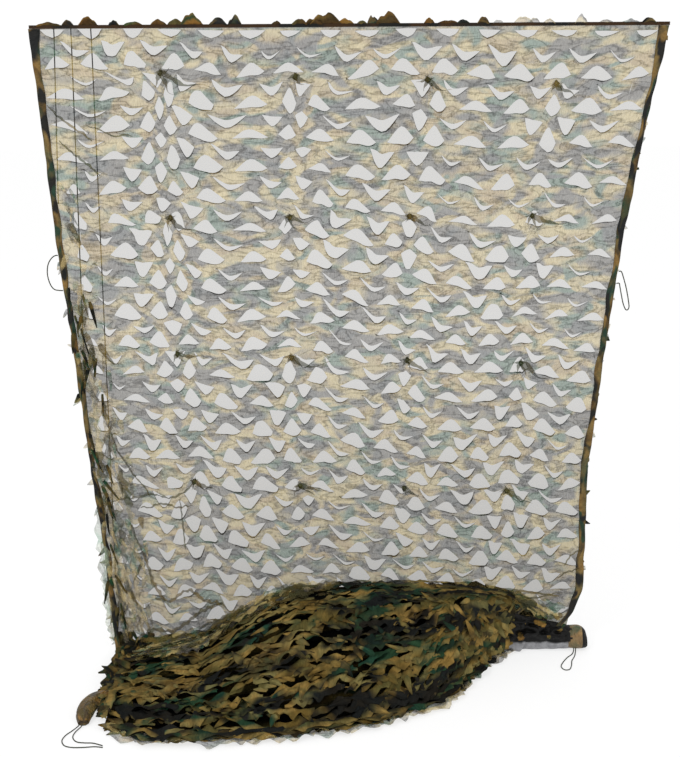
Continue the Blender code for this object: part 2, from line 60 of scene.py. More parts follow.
TAPE_OVERHANG = 0.002
CORD_DIAMETER = 0.003
ROLL_Y = (ROLL_LOW[1] + ROLL_HIGH[1]) / 2
ROLL_Z = (ROLL_LOW[2] + ROLL_HIGH[2]) / 2
ROLL_RADIUS = (ROLL_HIGH[2] - ROLL_LOW[2]) / 2

# Directions, and the sign of X that leads outward at each side edge.
UP = Vector((0, 0, 1))
TO_VIEWER = Vector((0, -1, 0))
TO_LEFT = Vector((-1, 0, 0))
OUTWARD = {"left": -1, "right": 1}

# How the two side edges of the sheet hang, by the drop below the top edge.
HangRow = namedtuple("HangRow", "drop left right")
HANG_ROWS = (
    HangRow(0.00, SHEET_LEFT, SHEET_RIGHT),
    HangRow(0.22, -0.737, 0.713),
    HangRow(0.47, -0.724, 0.676),
    HangRow(0.80, -0.697, 0.642),
    HangRow(1.10, -0.673, 0.615),
    HangRow(1.40, -0.645, 0.616),
    HangRow(1.63, -0.629, 0.572),
)

# The heap's cloth from its left end to its right end: where its brow, front and back lie, and its height.
HeapRow = namedtuple("HeapRow", "x brow front back crest")
HEAP_ROWS = (
    HeapRow(-0.580, -0.060, -0.395, -0.020, 0.034),
    HeapRow(-0.470, -0.040, -0.432, 0.030, 0.042),
    HeapRow(-0.390, -0.034, -0.432, 0.038, 0.054),
    HeapRow(-0.300, -0.030, -0.432, 0.045, 0.112),
    HeapRow(-0.220, -0.030, -0.422, 0.048, 0.158),
    HeapRow(-0.140, -0.030, -0.415, 0.050, 0.192),
    HeapRow(0.050, -0.030, -0.365, 0.050, 0.203),
    HeapRow(0.200, -0.030, -0.290, 0.050, 0.197),
    HeapRow(0.300, -0.030, -0.164, 0.050, 0.192),
    HeapRow(0.360, -0.030, -0.078, 0.050, 0.187),
    HeapRow(0.415, -0.012, -0.036, 0.060, 0.175),
    HeapRow(0.455, 0.024, 0.040, 0.095, 0.152),
    HeapRow(0.500, 0.026, 0.042, 0.095, 0.114),
    HeapRow(0.535, 0.028, 0.044, 0.090, 0.080),
)
HEAP_LEFT, HEAP_RIGHT = HEAP_ROWS[0].x, HEAP_ROWS[-1].x

# Tied gathers, four rows of four, in flat-cloth width and drop.
GATHER_ROWS = 4
GATHER_COLUMNS = 4
FIRST_GATHER_ACROSS, GATHER_PITCH = 0.300, 0.320
FIRST_GATHER_DROP, GATHER_ROW_PITCH = 0.110, 0.345
# How hard each one draws the cloth below it together, and how far down that reaches, by row and column.
PULLS = ((1.10, 0.85, 0.55, 0.50), (1.00, 0.70, 0.45, 0.40), (0.65, 0.60, 0.55, 0.45), (0.50, 0.60, 0.40, 0.40))
REACHES = ((0.36, 0.28, 0.20, 0.18), (0.32, 0.22, 0.17, 0.16), (0.22, 0.24, 0.18, 0.18), (0.18, 0.18, 0.16, 0.16))
# Half the width of cloth that each column of gathers draws together.
PINCH_WIDTHS = (0.120, 0.075, 0.060, 0.060)


def mix(start, end, share):
    return start + (end - start) * share


def clamp(value, low=0.0, high=1.0):
    return max(low, min(high, value))


def ease(share):
    share = clamp(share)
    return share * share * (3 - 2 * share)


def read_row(rows, key, at, column):
    """Reads one column of a short table at a place between its rows."""
    if at <= getattr(rows[0], key):
        return getattr(rows[0], column)
    for low, high in zip(rows, rows[1:]):
        start, end = getattr(low, key), getattr(high, key)
        if at <= end:
            share = (at - start) / (end - start)
            return mix(getattr(low, column), getattr(high, column), share)
    return getattr(rows[-1], column)


def gathers():
    for row in range(GATHER_ROWS):
        for column in range(GATHER_COLUMNS):
            across = FIRST_GATHER_ACROSS + GATHER_PITCH * column + 0.008 * math.sin(2.3 * row + column)
            drop = FIRST_GATHER_DROP + GATHER_ROW_PITCH * row + 0.010 * column * (row % 3 != 1)
            yield across, drop


GATHERS = list(gathers())


def sheet_edge(side, drop):
    return read_row(HANG_ROWS, "drop", drop, side)


def wave_depth(drop):
    return 0.013 * min(drop / 1.2, 1.0) * min(drop / 0.06, 1.0)


def waves(across, drop):
    """The long waves that run down the hung sheet, as a distance behind its plane."""
    broad = math.sin(2 * math.pi * across / 0.33 + 0.4)
    narrow = math.sin(2 * math.pi * across / 0.19 + 1.3 + 2.0 * drop)
    return wave_depth(drop) * (0.6 * broad + 0.4 * narrow)


def tape_edge(side, drop):
    """Where a tie leaves the outer edge of a side tape's solid."""
    ruled = TAPE_WIDTH if side == "left" else NET_WIDTH - TAPE_WIDTH
    x = sheet_edge(side, drop) + OUTWARD[side] * (TAPE_OVERHANG + 0.0006)
    return Vector((x, waves(ruled, drop) - 0.0021, -drop))


# ---------------------------------------------------------------- materials
Palette = namedtuple("Palette", "khaki brown green black")

# The woodland print: how finely its patches repeat across and down the cloth, how far they are turned in
# degrees, how soft their outline is, and for each colour where its own patches lie and how rare they are.
PATCH_SCALE, PATCH_TURN, PATCH_EDGE = (11.5, 21.5, 1.0), -12, 0.064
PATCHES = (("Brown", (3.1, 1.7, 0), 0.556), ("Green", (7.3, 4.1, 0), 0.562), ("Black", (1.9, 8.2, 0), 0.527))
# The streaks of its threads and of its wrinkles, in the same way.
STRAND_SCALE, STRAND_TURN = (330.0, 110.0, 1.0), 34
CREASE_SCALE, CREASE_TURN, CREASE_WIDTH = (17.0, 52.0, 1.0), 28, 0.060


def new_material(name, roughness, specular):
    material = bpy.data.materials.new(name)
    material.use_nodes = True
    shader = material.node_tree.nodes["Principled BSDF"]
    shader.inputs["Roughness"].default_value = roughness
    shader.inputs["Specular IOR Level"].default_value = specular
    return material, material.node_tree, shader


def add_node(tree, kind, **settings):
    node = tree.nodes.new(kind)
    for key, value in settings.items():
        setattr(node, key, value)
    return node


def flat_cloth(tree):
    """A piece's place on the flat cloth, in metres, from its own UV map."""
    return add_node(tree, "ShaderNodeUVMap", uv_map="cloth").outputs["UV"]


def split(tree, vector):
    node = add_node(tree, "ShaderNodeSeparateXYZ")
    tree.links.new(vector, node.inputs["Vector"])
    return node.outputs


def noise_value(tree, vector, scale, detail, distortion=0.0):
    node = add_node(tree, "ShaderNodeTexNoise")
    node.inputs["Scale"].default_value = scale
    node.inputs["Detail"].default_value = detail
    node.inputs["Distortion"].default_value = distortion
    tree.links.new(vector, node.inputs["Vector"])
    return node.outputs["Fac"]


def mapped(tree, vector, scale, degrees=0.0, shift=(0, 0, 0)):
    """The vector scaled, turned about Z and shifted."""
    node = add_node(tree, "ShaderNodeMapping")
    node.inputs["Scale"].default_value = scale
    node.inputs["Rotation"].default_value = (0.0, 0.0, math.radians(degrees))
    node.inputs["Location"].default_value = shift
    tree.links.new(vector, node.inputs["Vector"])
    return node.outputs["Vector"]


def ramp_between(tree, value, low, high, out_low=0.0, out_high=1.0):
    node = add_node(tree, "ShaderNodeMapRange")
    tree.links.new(value, node.inputs["Value"])
    for name, number in (("From Min", low), ("From Max", high), ("To Min", out_low), ("To Max", out_high)):
        node.inputs[name].default_value = number
    return node.outputs["Result"]


def maths(tree, operation, first, second):
    node = add_node(tree, "ShaderNodeMath", operation=operation)
    for socket, value in zip(node.inputs, (first, second)):
        if isinstance(value, (int, float)):
            socket.default_value = value
        else:
            tree.links.new(value, socket)
    return node.outputs["Value"]


def mix_colours(tree, factor, first, second, blend="MIX"):
    node = add_node(tree, "ShaderNodeMix", data_type="RGBA", blend_type=blend)
    for socket, value in ((node.inputs[0], factor), (node.inputs[6], first), (node.inputs[7], second)):
        if isinstance(value, (int, float)):
            socket.default_value = value
        elif isinstance(value, tuple):
            socket.default_value = (*value, 1.0)
        else:
            tree.links.new(value, socket)
    return node.outputs[2]


def woodland_group():
    """Masks of a generic woodland print, from a vector in metres of flat cloth."""
    group = bpy.data.node_groups.new("woodland_masks", "ShaderNodeTree")
    group.interface.new_socket("Cloth", in_out="INPUT", socket_type="NodeSocketVector")
    for name in ("Brown", "Green", "Black", "Thread", "Crease"):
        group.interface.new_socket(name, in_out="OUTPUT", socket_type="NodeSocketFloat")
    cloth = group.nodes.new("NodeGroupInput").outputs["Cloth"]
    end = group.nodes.new("NodeGroupOutput")
    fine = noise_value(group, cloth, 120.0, 1.0)
    ragged = maths(group, "MULTIPLY", maths(group, "SUBTRACT", fine, 0.5), 0.05)
    for name, shift, level in PATCHES:
        place = mapped(group, cloth, PATCH_SCALE, PATCH_TURN, shift)
        value = maths(group, "ADD", noise_value(group, place, 1.0, 1.2, 0.8), ragged)
        group.links.new(ramp_between(group, value, level - PATCH_EDGE, level + PATCH_EDGE), end.inputs[name])
    strands = mapped(group, cloth, STRAND_SCALE, STRAND_TURN)
    group.links.new(noise_value(group, strands, 1.0, 2.0, 0.6), end.inputs["Thread"])
    wrinkles = noise_value(group, mapped(group, cloth, CREASE_SCALE, CREASE_TURN), 1.0, 3.0, 0.7)
    away = maths(group, "ABSOLUTE", maths(group, "SUBTRACT", wrinkles, 0.5), 0.0)
    group.links.new(ramp_between(group, away, 0.0, CREASE_WIDTH, 1.0, 0.0), end.inputs["Crease"])
    return group


WOODLAND = woodland_group()


def woodland_masks(tree, vector):
    node = add_node(tree, "ShaderNodeGroup", node_tree=WOODLAND)
    tree.links.new(vector, node.inputs["Cloth"])
    return node.outputs


def woodland_print(tree, palette, scale=1.0, blackness=1.0):
    """Colour and masks of the print on a piece whose UV map is flat cloth in metres."""
    uv = flat_cloth(tree)
    masks = woodland_masks(tree, uv if scale == 1.0 else mapped(tree, uv, (scale, scale, 1.0)))
    colour = mix_colours(tree, masks["Brown"], palette.khaki, palette.brown)
    colour = mix_colours(tree, masks["Green"], colour, palette.green)
    black = maths(tree, "MULTIPLY", masks["Black"], blackness)
    colour = mix_colours(tree, black, colour, palette.black)
    return uv, masks, colour


def add_bump(tree, vector, scale, strength, distance=0.0006, below=None):
    bump = add_node(tree, "ShaderNodeBump")
    bump.inputs["Strength"].default_value = strength
    bump.inputs["Distance"].default_value = distance
    tree.links.new(noise_value(tree, vector, scale, 2.0), bump.inputs["Height"])
    if below:
        tree.links.new(below, bump.inputs["Normal"])
    return bump.outputs["Normal"]


def sheer_cloth(name, palette, cover):
    """The sheer cut cloth, with its cover by colour: light passes between its threads, less so in creases, where its
    colour also carries painted shade.
    """
    material, tree, shader = new_material(name, 0.9, 0.10)
    uv, masks, colour = woodland_print(tree, palette, blackness=0.90)
    thread = ramp_between(tree, masks["Thread"], 0.30, 0.70, 0.72, 1.26)
    tone = ramp_between(tree, noise_value(tree, uv, 16.0, 2.0), 0.3, 0.7, 0.86, 1.14)
    # Painted shade: the colour darkens along the wrinkle lines of the Crease mask.
    painted_crease_shade = ramp_between(tree, masks["Crease"], 0.0, 1.0, 1.06, 0.44)
    shade = maths(tree, "MULTIPLY", maths(tree, "MULTIPLY", thread, tone), painted_crease_shade)
    tree.links.new(mix_colours(tree, 1.0, colour, shade, "MULTIPLY"), shader.inputs["Base Color"])
    alpha = cover.khaki
    for mask, printed in (("Brown", cover.brown), ("Green", cover.green), ("Black", cover.black)):
        step = maths(tree, "MULTIPLY", masks[mask], printed - cover.khaki)
        alpha = maths(tree, "MAXIMUM", alpha, maths(tree, "ADD", step, cover.khaki))
    grain = ramp_between(tree, masks["Thread"], 0.30, 0.70, 1.14, 0.88)
    denser = ramp_between(tree, masks["Crease"], 0.0, 1.0, 0.96, 1.30)
    tree.links.new(maths(tree, "MULTIPLY", maths(tree, "MULTIPLY", alpha, grain), denser), shader.inputs["Alpha"])
    tree.links.new(add_bump(tree, uv, 700.0, 0.25), shader.inputs["Normal"])
    return material


def dense_cloth(name, palette, roughness, scale, specular, crumples=62.0, depth=0.006):
    """The same cloth where it lies in many layers, so that nothing shows through."""
    material, tree, shader = new_material(name, roughness, specular)
    uv, masks, colour = woodland_print(tree, palette, scale)
    fade = ramp_between(tree, noise_value(tree, uv, 24.0, 3.0), 0.3, 0.7, 0.66, 1.38)
    thread = ramp_between(tree, masks["Thread"], 0.3, 0.7, 0.80, 1.20)
    colour = mix_colours(tree, 1.0, colour, maths(tree, "MULTIPLY", fade, thread), "MULTIPLY")
    warmth = ramp_between(tree, noise_value(tree, uv, 15.0, 2.0), 0.38, 0.62)
    tint = mix_colours(tree, warmth, (1.14, 0.98, 0.72), (0.80, 0.92, 0.90))
    tree.links.new(mix_colours(tree, 1.0, colour, tint, "MULTIPLY"), shader.inputs["Base Color"])
    crumple = add_bump(tree, uv, crumples, 0.8, depth)
    tree.links.new(add_bump(tree, uv, 450.0, 0.5, 0.001, crumple), shader.inputs["Normal"])
    return material


def plain_fabric(name, colour, roughness, scale):
    """Cord fibre and thread, in one colour."""
    material, tree, shader = new_material(name, roughness, 0.2)
    uv = flat_cloth(tree)
    shade = ramp_between(tree, noise_value(tree, uv, scale * 0.2, 3.0), 0.3, 0.7, 0.75, 1.25)
    tree.links.new(mix_colours(tree, 1.0, colour, shade, "MULTIPLY"), shader.inputs["Base Color"])
    tree.links.new(add_bump(tree, uv, scale, 0.4), shader.inputs["Normal"])
    return material


def carrier_cloth():
    """The fine mesh behind, which looks denser toward the heap."""
    material, tree, shader = new_material("carrier_mesh", 0.9, 0.05)
    uv = flat_cloth(tree)
    drop = split(tree, uv)["Y"]
    denser = maths(tree, "ADD", ramp_between(tree, drop, 0.75, 1.45, 0.0, 0.22),
                   ramp_between(tree, drop, 0.50, 0.10, 0.0, 0.03))
    threads = ramp_between(tree, noise_value(tree, uv, 420.0, 1.0), 0.3, 0.7, 0.30, 0.35)
    tree.links.new(maths(tree, "ADD", denser, threads), shader.inputs["Alpha"])
    shader.inputs["Base Color"].default_value = (0.068, 0.055, 0.024, 1.0)
    return material


def rolled_hem_cloth():
    """The rolled hem: black net cloth above, its paler inner side showing below."""
    material, tree, shader = new_material("rolled_hem", 0.5, 0.14)
    place = add_node(tree, "ShaderNodeTexCoord").outputs["Object"]
    parts = split(tree, place)
    wander = ramp_between(tree, noise_value(tree, place, 30.0, 3.0), 0.3, 0.7, -0.006, 0.006)
    height = maths(tree, "ADD", parts["Z"], wander)
    along = ramp_between(tree, parts["X"], ROLL_HIGH[0] - 0.050, ROLL_HIGH[0] - 0.034, 1.0, 0.0)
    below = maths(tree, "MULTIPLY", along, ramp_between(tree, height, FLOOR_Z + 0.034, FLOOR_Z + 0.028))
    black = mix_colours(tree, noise_value(tree, place, 60.0, 4.0), (0.0015, 0.0015, 0.0015), (0.010, 0.0095, 0.009))
    grey = mix_colours(tree, noise_value(tree, place, 80.0, 4.0), (0.10, 0.10, 0.11), (0.36, 0.36, 0.37))
    tree.links.new(mix_colours(tree, below, black, grey), shader.inputs["Base Color"])
    tree.links.new(add_bump(tree, place, 55.0, 0.9, 0.008), shader.inputs["Normal"])
    return material


def head_tape_cloth():
    """The dark binding of the top edge, a little darker where the print is black."""
    material, tree, shader = new_material("head_tape_print", 0.7, 0.1)
    masks = woodland_masks(tree, add_node(tree, "ShaderNodeTexCoord").outputs["Object"])
    colour = mix_colours(tree, masks["Black"], (0.034, 0.018, 0.008), (0.010, 0.010, 0.009))
    tree.links.new(colour, shader.inputs["Base Color"])
    return material


# The sheer finishes: their colours, and how much of the light each colour holds back.
SHEER = sheer_cloth(
    "sheer_woodland",
    Palette((0.462, 0.368, 0.150), (0.36, 0.262, 0.108), (0.078, 0.150, 0.100), (0.060, 0.061, 0.066)),
    Palette(0.572, 0.605, 0.595, 0.572))
STRIP_CLOTH = sheer_cloth(
    "bunched_edge_woodland",
    Palette((0.62, 0.48, 0.22), (0.36, 0.27, 0.11), (0.07, 0.16, 0.10), (0.09, 0.085, 0.075)),
    Palette(0.33, 0.42, 0.52, 0.58))
FRINGE_CLOTH = sheer_cloth(
    "edge_fringe_woodland",
    Palette((0.46, 0.52, 0.38), (0.42, 0.38, 0.22), (0.12, 0.26, 0.16), (0.22, 0.27, 0.22)),
    Palette(0.40, 0.42, 0.52, 0.46))
# The curled lips: doubled cloth that holds back more light, and a darker colour that is painted shade under each
# curl.
SHADED_LIP_CLOTH = sheer_cloth(
    "curled_lip_painted_shade_woodland",
    Palette((0.15, 0.110, 0.036), (0.10, 0.065, 0.022), (0.02, 0.05, 0.03), (0.015, 0.015, 0.015)),
    Palette(0.76, 0.78, 0.78, 0.80))

# The dense finishes, from the heap to the small folds, then the tapes and the hem.
HEAP_CLOTH = dense_cloth(
    "heaped_woodland",
    Palette((0.182, 0.134, 0.050), (0.092, 0.068, 0.022), (0.013, 0.038, 0.024), (0.010, 0.010, 0.010)),
    roughness=0.85, scale=0.52, specular=0.05)
# The heap's inner layers: the same print, darkened as painted shade where they show between the heap's bands.
SHADED_INSIDE_CLOTH = dense_cloth(
    "heap_inside_painted_shade_woodland",
    Palette((0.050, 0.036, 0.012), (0.022, 0.016, 0.006), (0.004, 0.012, 0.008), (0.003, 0.003, 0.003)),
    roughness=0.9, scale=0.52, specular=0.03)
GATHER_CLOTH = dense_cloth(
    "gathered_woodland",
    Palette((0.120, 0.092, 0.030), (0.066, 0.050, 0.016), (0.040, 0.056, 0.026), (0.046, 0.044, 0.024)),
    roughness=0.85, scale=1.0, specular=0.08)
GATHER_CLOTH.node_tree.nodes["Principled BSDF"].inputs["Alpha"].default_value = 0.72
STRAND_CLOTH = dense_cloth(
    "edge_strands_woodland",
    Palette((0.090, 0.066, 0.024), (0.050, 0.040, 0.016), (0.010, 0.042, 0.024), (0.010, 0.011, 0.010)),
    roughness=0.85, scale=1.0, specular=0.08)
FLAP_CLOTH = dense_cloth(
    "flap_woodland",
    Palette((0.170, 0.100, 0.030), (0.120, 0.066, 0.020), (0.030, 0.050, 0.026), (0.058, 0.034, 0.014)),
    roughness=0.85, scale=0.6, specular=0.08)
TAPE_CLOTH = dense_cloth(
    "tape_woodland",
    Palette((0.150, 0.100, 0.036), (0.070, 0.044, 0.014), (0.014, 0.036, 0.022), (0.008, 0.008, 0.008)),
    roughness=0.60, scale=1.35, specular=0.20)
CAP_CLOTH = dense_cloth(
    "hem_cap_woodland",
    Palette((0.200, 0.136, 0.056), (0.130, 0.086, 0.030), (0.040, 0.060, 0.030), (0.150, 0.102, 0.046)),
    roughness=0.38, scale=2.4, specular=0.45, crumples=210.0, depth=0.008)
HORN_CLOTH = dense_cloth(
    "tan_satin_hem",
    Palette((0.170, 0.104, 0.030), (0.104, 0.062, 0.018), (0.064, 0.050, 0.016), (0.040, 0.027, 0.009)),
    roughness=0.42, scale=2.6, specular=0.3, crumples=170.0, depth=0.008)

CORD_FIBRE = plain_fabric("dark_cord_fibre", (0.035, 0.038, 0.024), 0.75, 900.0)
BLACK_THREAD = plain_fabric("black_thread", (0.012, 0.012, 0.014), 0.7, 900.0)
CARRIER = carrier_cloth()
HEAD_TAPE = head_tape_cloth()
ROLL_CLOTH = rolled_hem_cloth()


# ---------------------------------------------------------------- meshes
def make_mesh(name, points, faces, uvs, *materials):
    """One mesh object with its flat-cloth UVs in metres."""
    mesh = bpy.data.meshes.new(name)
    mesh.from_pydata([tuple(point) for point in points], [], faces)
    layer = mesh.uv_layers.new(name="cloth")
    for loop in mesh.loops:
        layer.data[loop.index].uv = uvs[loop.vertex_index]
    for material in materials:
        mesh.materials.append(material)
    mesh.shade_smooth()
    item = bpy.data.objects.new(name, mesh)
    bpy.context.scene.collection.objects.link(item)
    return item


def choose_finishes(item, choose):
    """Gives each face one of its piece's materials, by the face's number and middle."""
    for number, polygon in enumerate(item.data.polygons):
        polygon.material_index = int(choose(number, polygon.center))


def grid_faces(rows, columns, start=0, closed=False):
    """Quads of a grid of points listed row by row."""
    faces = []
    last = columns if closed else columns - 1
    for row in range(rows - 1):
        for column in range(last):
            after = (column + 1) % columns
            a = start + row * columns
            b = a + columns
            faces.append((a + column, a + after, b + after, b + column))
    return faces


def tube_faces(rings, sides):
    """The wall and both end caps of a tube whose points are listed ring by ring."""
    faces = grid_faces(rings, sides, closed=True)
    faces.append(tuple(range(sides)))
    faces.append(tuple(reversed(range((rings - 1) * sides, rings * sides))))
    return faces


def ahead_at(path, k):
    """The way that a path of points runs at one of them."""
    return path[min(k + 1, len(path) - 1)] - path[max(k - 1, 0)]


def add_part(item, slot, *nodes):
    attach(item, "root")
    if nodes:
        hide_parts(*nodes)


# ---------------------------------------------------------------- camera, lights, floor
CAMERA_DISTANCE = 3.0
CAMERA_X = -0.026
PITCH_DOWN = math.radians(16.1)
ROLL = math.radians(0.35)
LENS = 58.5
LIT_PLACE = (0.0, 0.0, -1.1)
FLOOR_REACH = 14.0


def make_camera():
    data = bpy.data.cameras.new("camera")
    data.lens = LENS
    camera = bpy.data.objects.new("camera", data)
    turn = Euler((math.radians(90) - PITCH_DOWN, 0, 0)).to_matrix().to_4x4()
    camera.matrix_world = (Matrix.Translation((CAMERA_X, -CAMERA_DISTANCE, 0)) @ turn
                           @ Matrix.Rotation(-ROLL, 4, "Z"))
    bpy.context.scene.collection.objects.link(camera)
    bpy.context.scene.camera = camera


def area_light(name, place, size, power):
    data = bpy.data.lights.new(name, "AREA")
    data.shape = "DISK"
    data.size = size
    data.energy = power
    light = bpy.data.objects.new(name, data)
    light.location = place
    light.rotation_euler = (Vector(LIT_PLACE) - Vector(place)).to_track_quat("-Z", "Y").to_euler()
    bpy.context.scene.collection.objects.link(light)


def make_studio():
    world = bpy.data.worlds.new("studio")
    world.use_nodes = True
    background = world.node_tree.nodes["Background"]
    background.inputs["Color"].default_value = (1.0, 1.0, 1.0, 1.0)
    background.inputs["Strength"].default_value = 1.02
    bpy.context.scene.world = world
    bpy.context.scene.view_settings.view_transform = "Standard"
    area_light("key", (-1.9, -2.6, 1.6), 1.2, 42)
    area_light("fill", (2.2, -2.4, 0.6), 1.6, 16)
    material, _, shader = new_material("pale_floor", 0.95, 0.0)
    shader.inputs["Base Color"].default_value = (0.30, 0.30, 0.30, 1.0)
    shader.inputs["Emission Color"].default_value = (1.0, 1.0, 1.0, 1.0)
    shader.inputs["Emission Strength"].default_value = 0.69
    mesh = bpy.data.meshes.new("floor")
    corners = [(x * FLOOR_REACH, y * FLOOR_REACH, FLOOR_Z - 0.0008) for x, y in ((-1, -1), (1, -1), (1, 1), (-1, 1))]
    mesh.from_pydata(corners, [], [(0, 1, 2, 3)])
    mesh.materials.append(material)
    floor = bpy.data.objects.new("floor", mesh)
    bpy.context.scene.collection.objects.link(floor)


# ---------------------------------------------------------------- cords
def smooth_points(route, per_span=6):
    """A Catmull-Rom curve through the route's own points."""
    knots = [Vector(point) for point in route]
    padded = [2 * knots[0] - knots[1]] + knots + [2 * knots[-1] - knots[-2]]
    points = []
    for before, start, end, after in zip(padded, padded[1:], padded[2:], padded[3:]):
        for index in range(per_span):
            t = index / per_span
            points.append(0.5 * (2 * start + (end - before) * t
                                 + (2 * before - 5 * start + 4 * end - after) * t ** 2
                                 + (3 * start - before - 3 * end + after) * t ** 3))
    points.append(knots[-1])
    return points


CORD_SIDES = 12
CORD_STRANDS = 3
CORD_TURNS_PER_METRE = 110


def twisted_cord(name, route, material):
    """A twisted cord as a mesh tube whose section has one lobe for each strand."""
    path = smooth_points(route)
    points, uvs = [], []
    walked = 0.0
    for k, centre in enumerate(path):
        ahead = ahead_at(path, k)
        walked += (centre - path[k - 1]).length if k else 0.0
        side = ahead.cross(Vector((0.3, 0.2, 1.0))).normalized()
        up = side.cross(ahead).normalized()
        twist = 2 * math.pi * CORD_TURNS_PER_METRE * walked / CORD_STRANDS
        for step in range(CORD_SIDES):
            angle = 2 * math.pi * step / CORD_SIDES
            lobe = 0.92 + 0.08 * math.cos(CORD_STRANDS * (angle + twist))
            radius = CORD_DIAMETER / 2 * lobe
            points.append(centre + (side * math.cos(angle) + up * math.sin(angle)) * radius)
            uvs.append((walked, step / CORD_SIDES * 0.01))
    return make_mesh(name, points, tube_faces(len(path), CORD_SIDES), uvs, material), path


def make_ties():
    """The free ties, each on the route of its solid."""
    lead = Vector((0.006, 0, 0))
    routes = {}
    start, end = tape_edge("left", 0.546), tape_edge("left", 0.634)
    y = start.y
    routes["tie_left"] = (
        start, start - lead, (-0.7355, y - 0.002, -0.552), (-0.7445, y - 0.005, -0.567),
        (-0.7475, y - 0.007, -0.590), (-0.7435, y - 0.006, -0.614), (-0.7345, y - 0.003, -0.630),
        end - lead, end)
    start, end = tape_edge("right", 0.594), tape_edge("right", 0.624)
    y = start.y
    routes["tie_right"] = (
        start, start + lead, (0.6760, y - 0.001, -0.603), (0.6850, y - 0.004, -0.632),
        (0.6920, y - 0.007, -0.664), (0.6945, y - 0.008, -0.684), (0.6880, y - 0.008, -0.690),
        (0.6805, y - 0.007, -0.676), (0.6745, y - 0.005, -0.652), (0.6700, y - 0.002, -0.630),
        end + lead, end)
    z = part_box("tie_corner_left_a")[0][2] + CORD_DIAMETER / 2
    out = Vector((0, -0.80, -0.60))
    ends = [Vector((x, ROLL_Y, ROLL_Z)) + out * (ROLL_RADIUS + 0.0005) for x in (0.5985, 0.6035)]
    routes["tie_corner_right"] = (
        ends[0], ends[0] + out * 0.006, (0.592, -0.036, z), (0.575, -0.056, z), (0.559, -0.082, z),
        (0.551, -0.103, z), (0.557, -0.119, z), (0.570, -0.118, z), (0.579, -0.098, z),
        (0.585, -0.072, z), (0.597, -0.046, z), ends[1] + out * 0.006, ends[1])
    facing = Vector((-0.006, -0.014, 0)).normalized()
    beside = Vector((-facing.y, facing.x, 0))
    tip = Vector((-0.656, -0.374, FLOOR_Z + 0.006)) + facing * 0.0003
    dip = Vector((0, 0, 0.002))
    routes["tie_corner_left_a"] = (
        tip - beside * 0.004, tip - beside * 0.004 + facing * 0.010 - dip, (-0.676, -0.398, z),
        (-0.686, -0.415, z), (-0.690, -0.437, z), (-0.680, -0.458, z), (-0.660, -0.466, z),
        (-0.634, -0.466, z), (-0.608, -0.4635, z), (-0.588, -0.4665, z))
    routes["tie_corner_left_b"] = (
        tip + beside * 0.004, tip + beside * 0.004 + facing * 0.010 - dip, (-0.666, -0.402, z),
        (-0.667, -0.424, z), (-0.655, -0.442, z), (-0.636, -0.447, z), (-0.614, -0.4485, z),
        (-0.590, -0.459, z))
    for node, route in routes.items():
        item, path = twisted_cord(node + "_cord", route, CORD_FIBRE)
        add_part(item, "dark_cord", node)


# ---------------------------------------------------------------- the hung sheet
def gather_pinch(across, drop):
    """How strongly the cloth below a gather is drawn together, from 0 to 1."""
    pinch = 0.0
    for number, (gather_across, gather_drop) in enumerate(GATHERS):
        row, column = divmod(number, GATHER_COLUMNS)
        below = (drop - gather_drop) / REACHES[row][column]
        if 0 < below < 1:
            beside = (across - gather_across) / (PINCH_WIDTHS[column] * (0.60 + 0.55 * below))
            fade = min(1.0, below * 8) * (1 - below) ** 0.5
            pinch = max(pinch, min(PULLS[row][column] ** 0.5, 1.0) * math.exp(-beside * beside) * fade)
    return pinch


def draw_in(across, drop):
    """Moves a place across toward the gathers above it, as the tied cloth is."""
    moved = across
    for number, (gather_across, gather_drop) in enumerate(GATHERS):
        row, column = divmod(number, GATHER_COLUMNS)
        below = (drop - gather_drop + 0.025) / (REACHES[row][column] + 0.06)
        if 0 < below < 1:
            beside = across - gather_across
            pull = 0.60 * PULLS[row][column] * ease(below * 5) * (1 - below) ** 0.6
            moved -= beside * pull * math.exp(-(beside / (0.08 + 0.7 * PINCH_WIDTHS[column])) ** 2)
    return moved


# How far from a gather its star of creases runs.
STAR_REACH = 0.26


def sway(across, drop):
    """The sheet's distance behind its hanging plane, with the creases below each gather."""
    ruled = clamp(across, TAPE_WIDTH, NET_WIDTH - TAPE_WIDTH)
    depth = waves(ruled, drop)
    for gather_across, gather_drop in GATHERS:
        beside, below = ruled - gather_across, drop - gather_drop
        reach = math.hypot(beside, below)
        if reach < STAR_REACH:
            depth += 0.010 * math.exp(-(reach / 0.07) ** 2)
            if below > 0:
                angle = math.atan2(beside, below)
                fade = ease(reach / 0.03) * (1 - reach / STAR_REACH) * math.cos(clamp(angle, -1.4, 1.4))
                depth += 0.0055 * math.cos(9 * angle + gather_across * 20) * fade
    pleat = 0.006 * clamp((drop - 0.35) / 0.35)
    depth -= pleat * math.exp(-((ruled - 0.070) / 0.034) ** 2)
    wrinkle = noise.noise(Vector((across * 26, drop * 30, 3.7))) * 0.0026
    inside = clamp((min(across, NET_WIDTH - across) - TAPE_WIDTH) / 0.03)
    return depth + wrinkle * clamp(drop / 0.05) * inside + 0.0008 * (1 - inside)


def hang_point(across, drop, lift=0.0):
    """Maps flat-cloth width and drop to the hung sheet; lift is toward the viewer."""
    left, right = sheet_edge("left", drop), sheet_edge("right", drop)
    tuck = 0.012 * ease((drop - 1.28) / 0.12) * clamp(1 - across / 0.06)
    landed = max(drop + FLOOR_Z + 0.008, 0.0)
    x = mix(left, right, draw_in(across, drop) / NET_WIDTH) - tuck
    return Vector((x, sway(across, drop) - lift - landed, landed - drop))


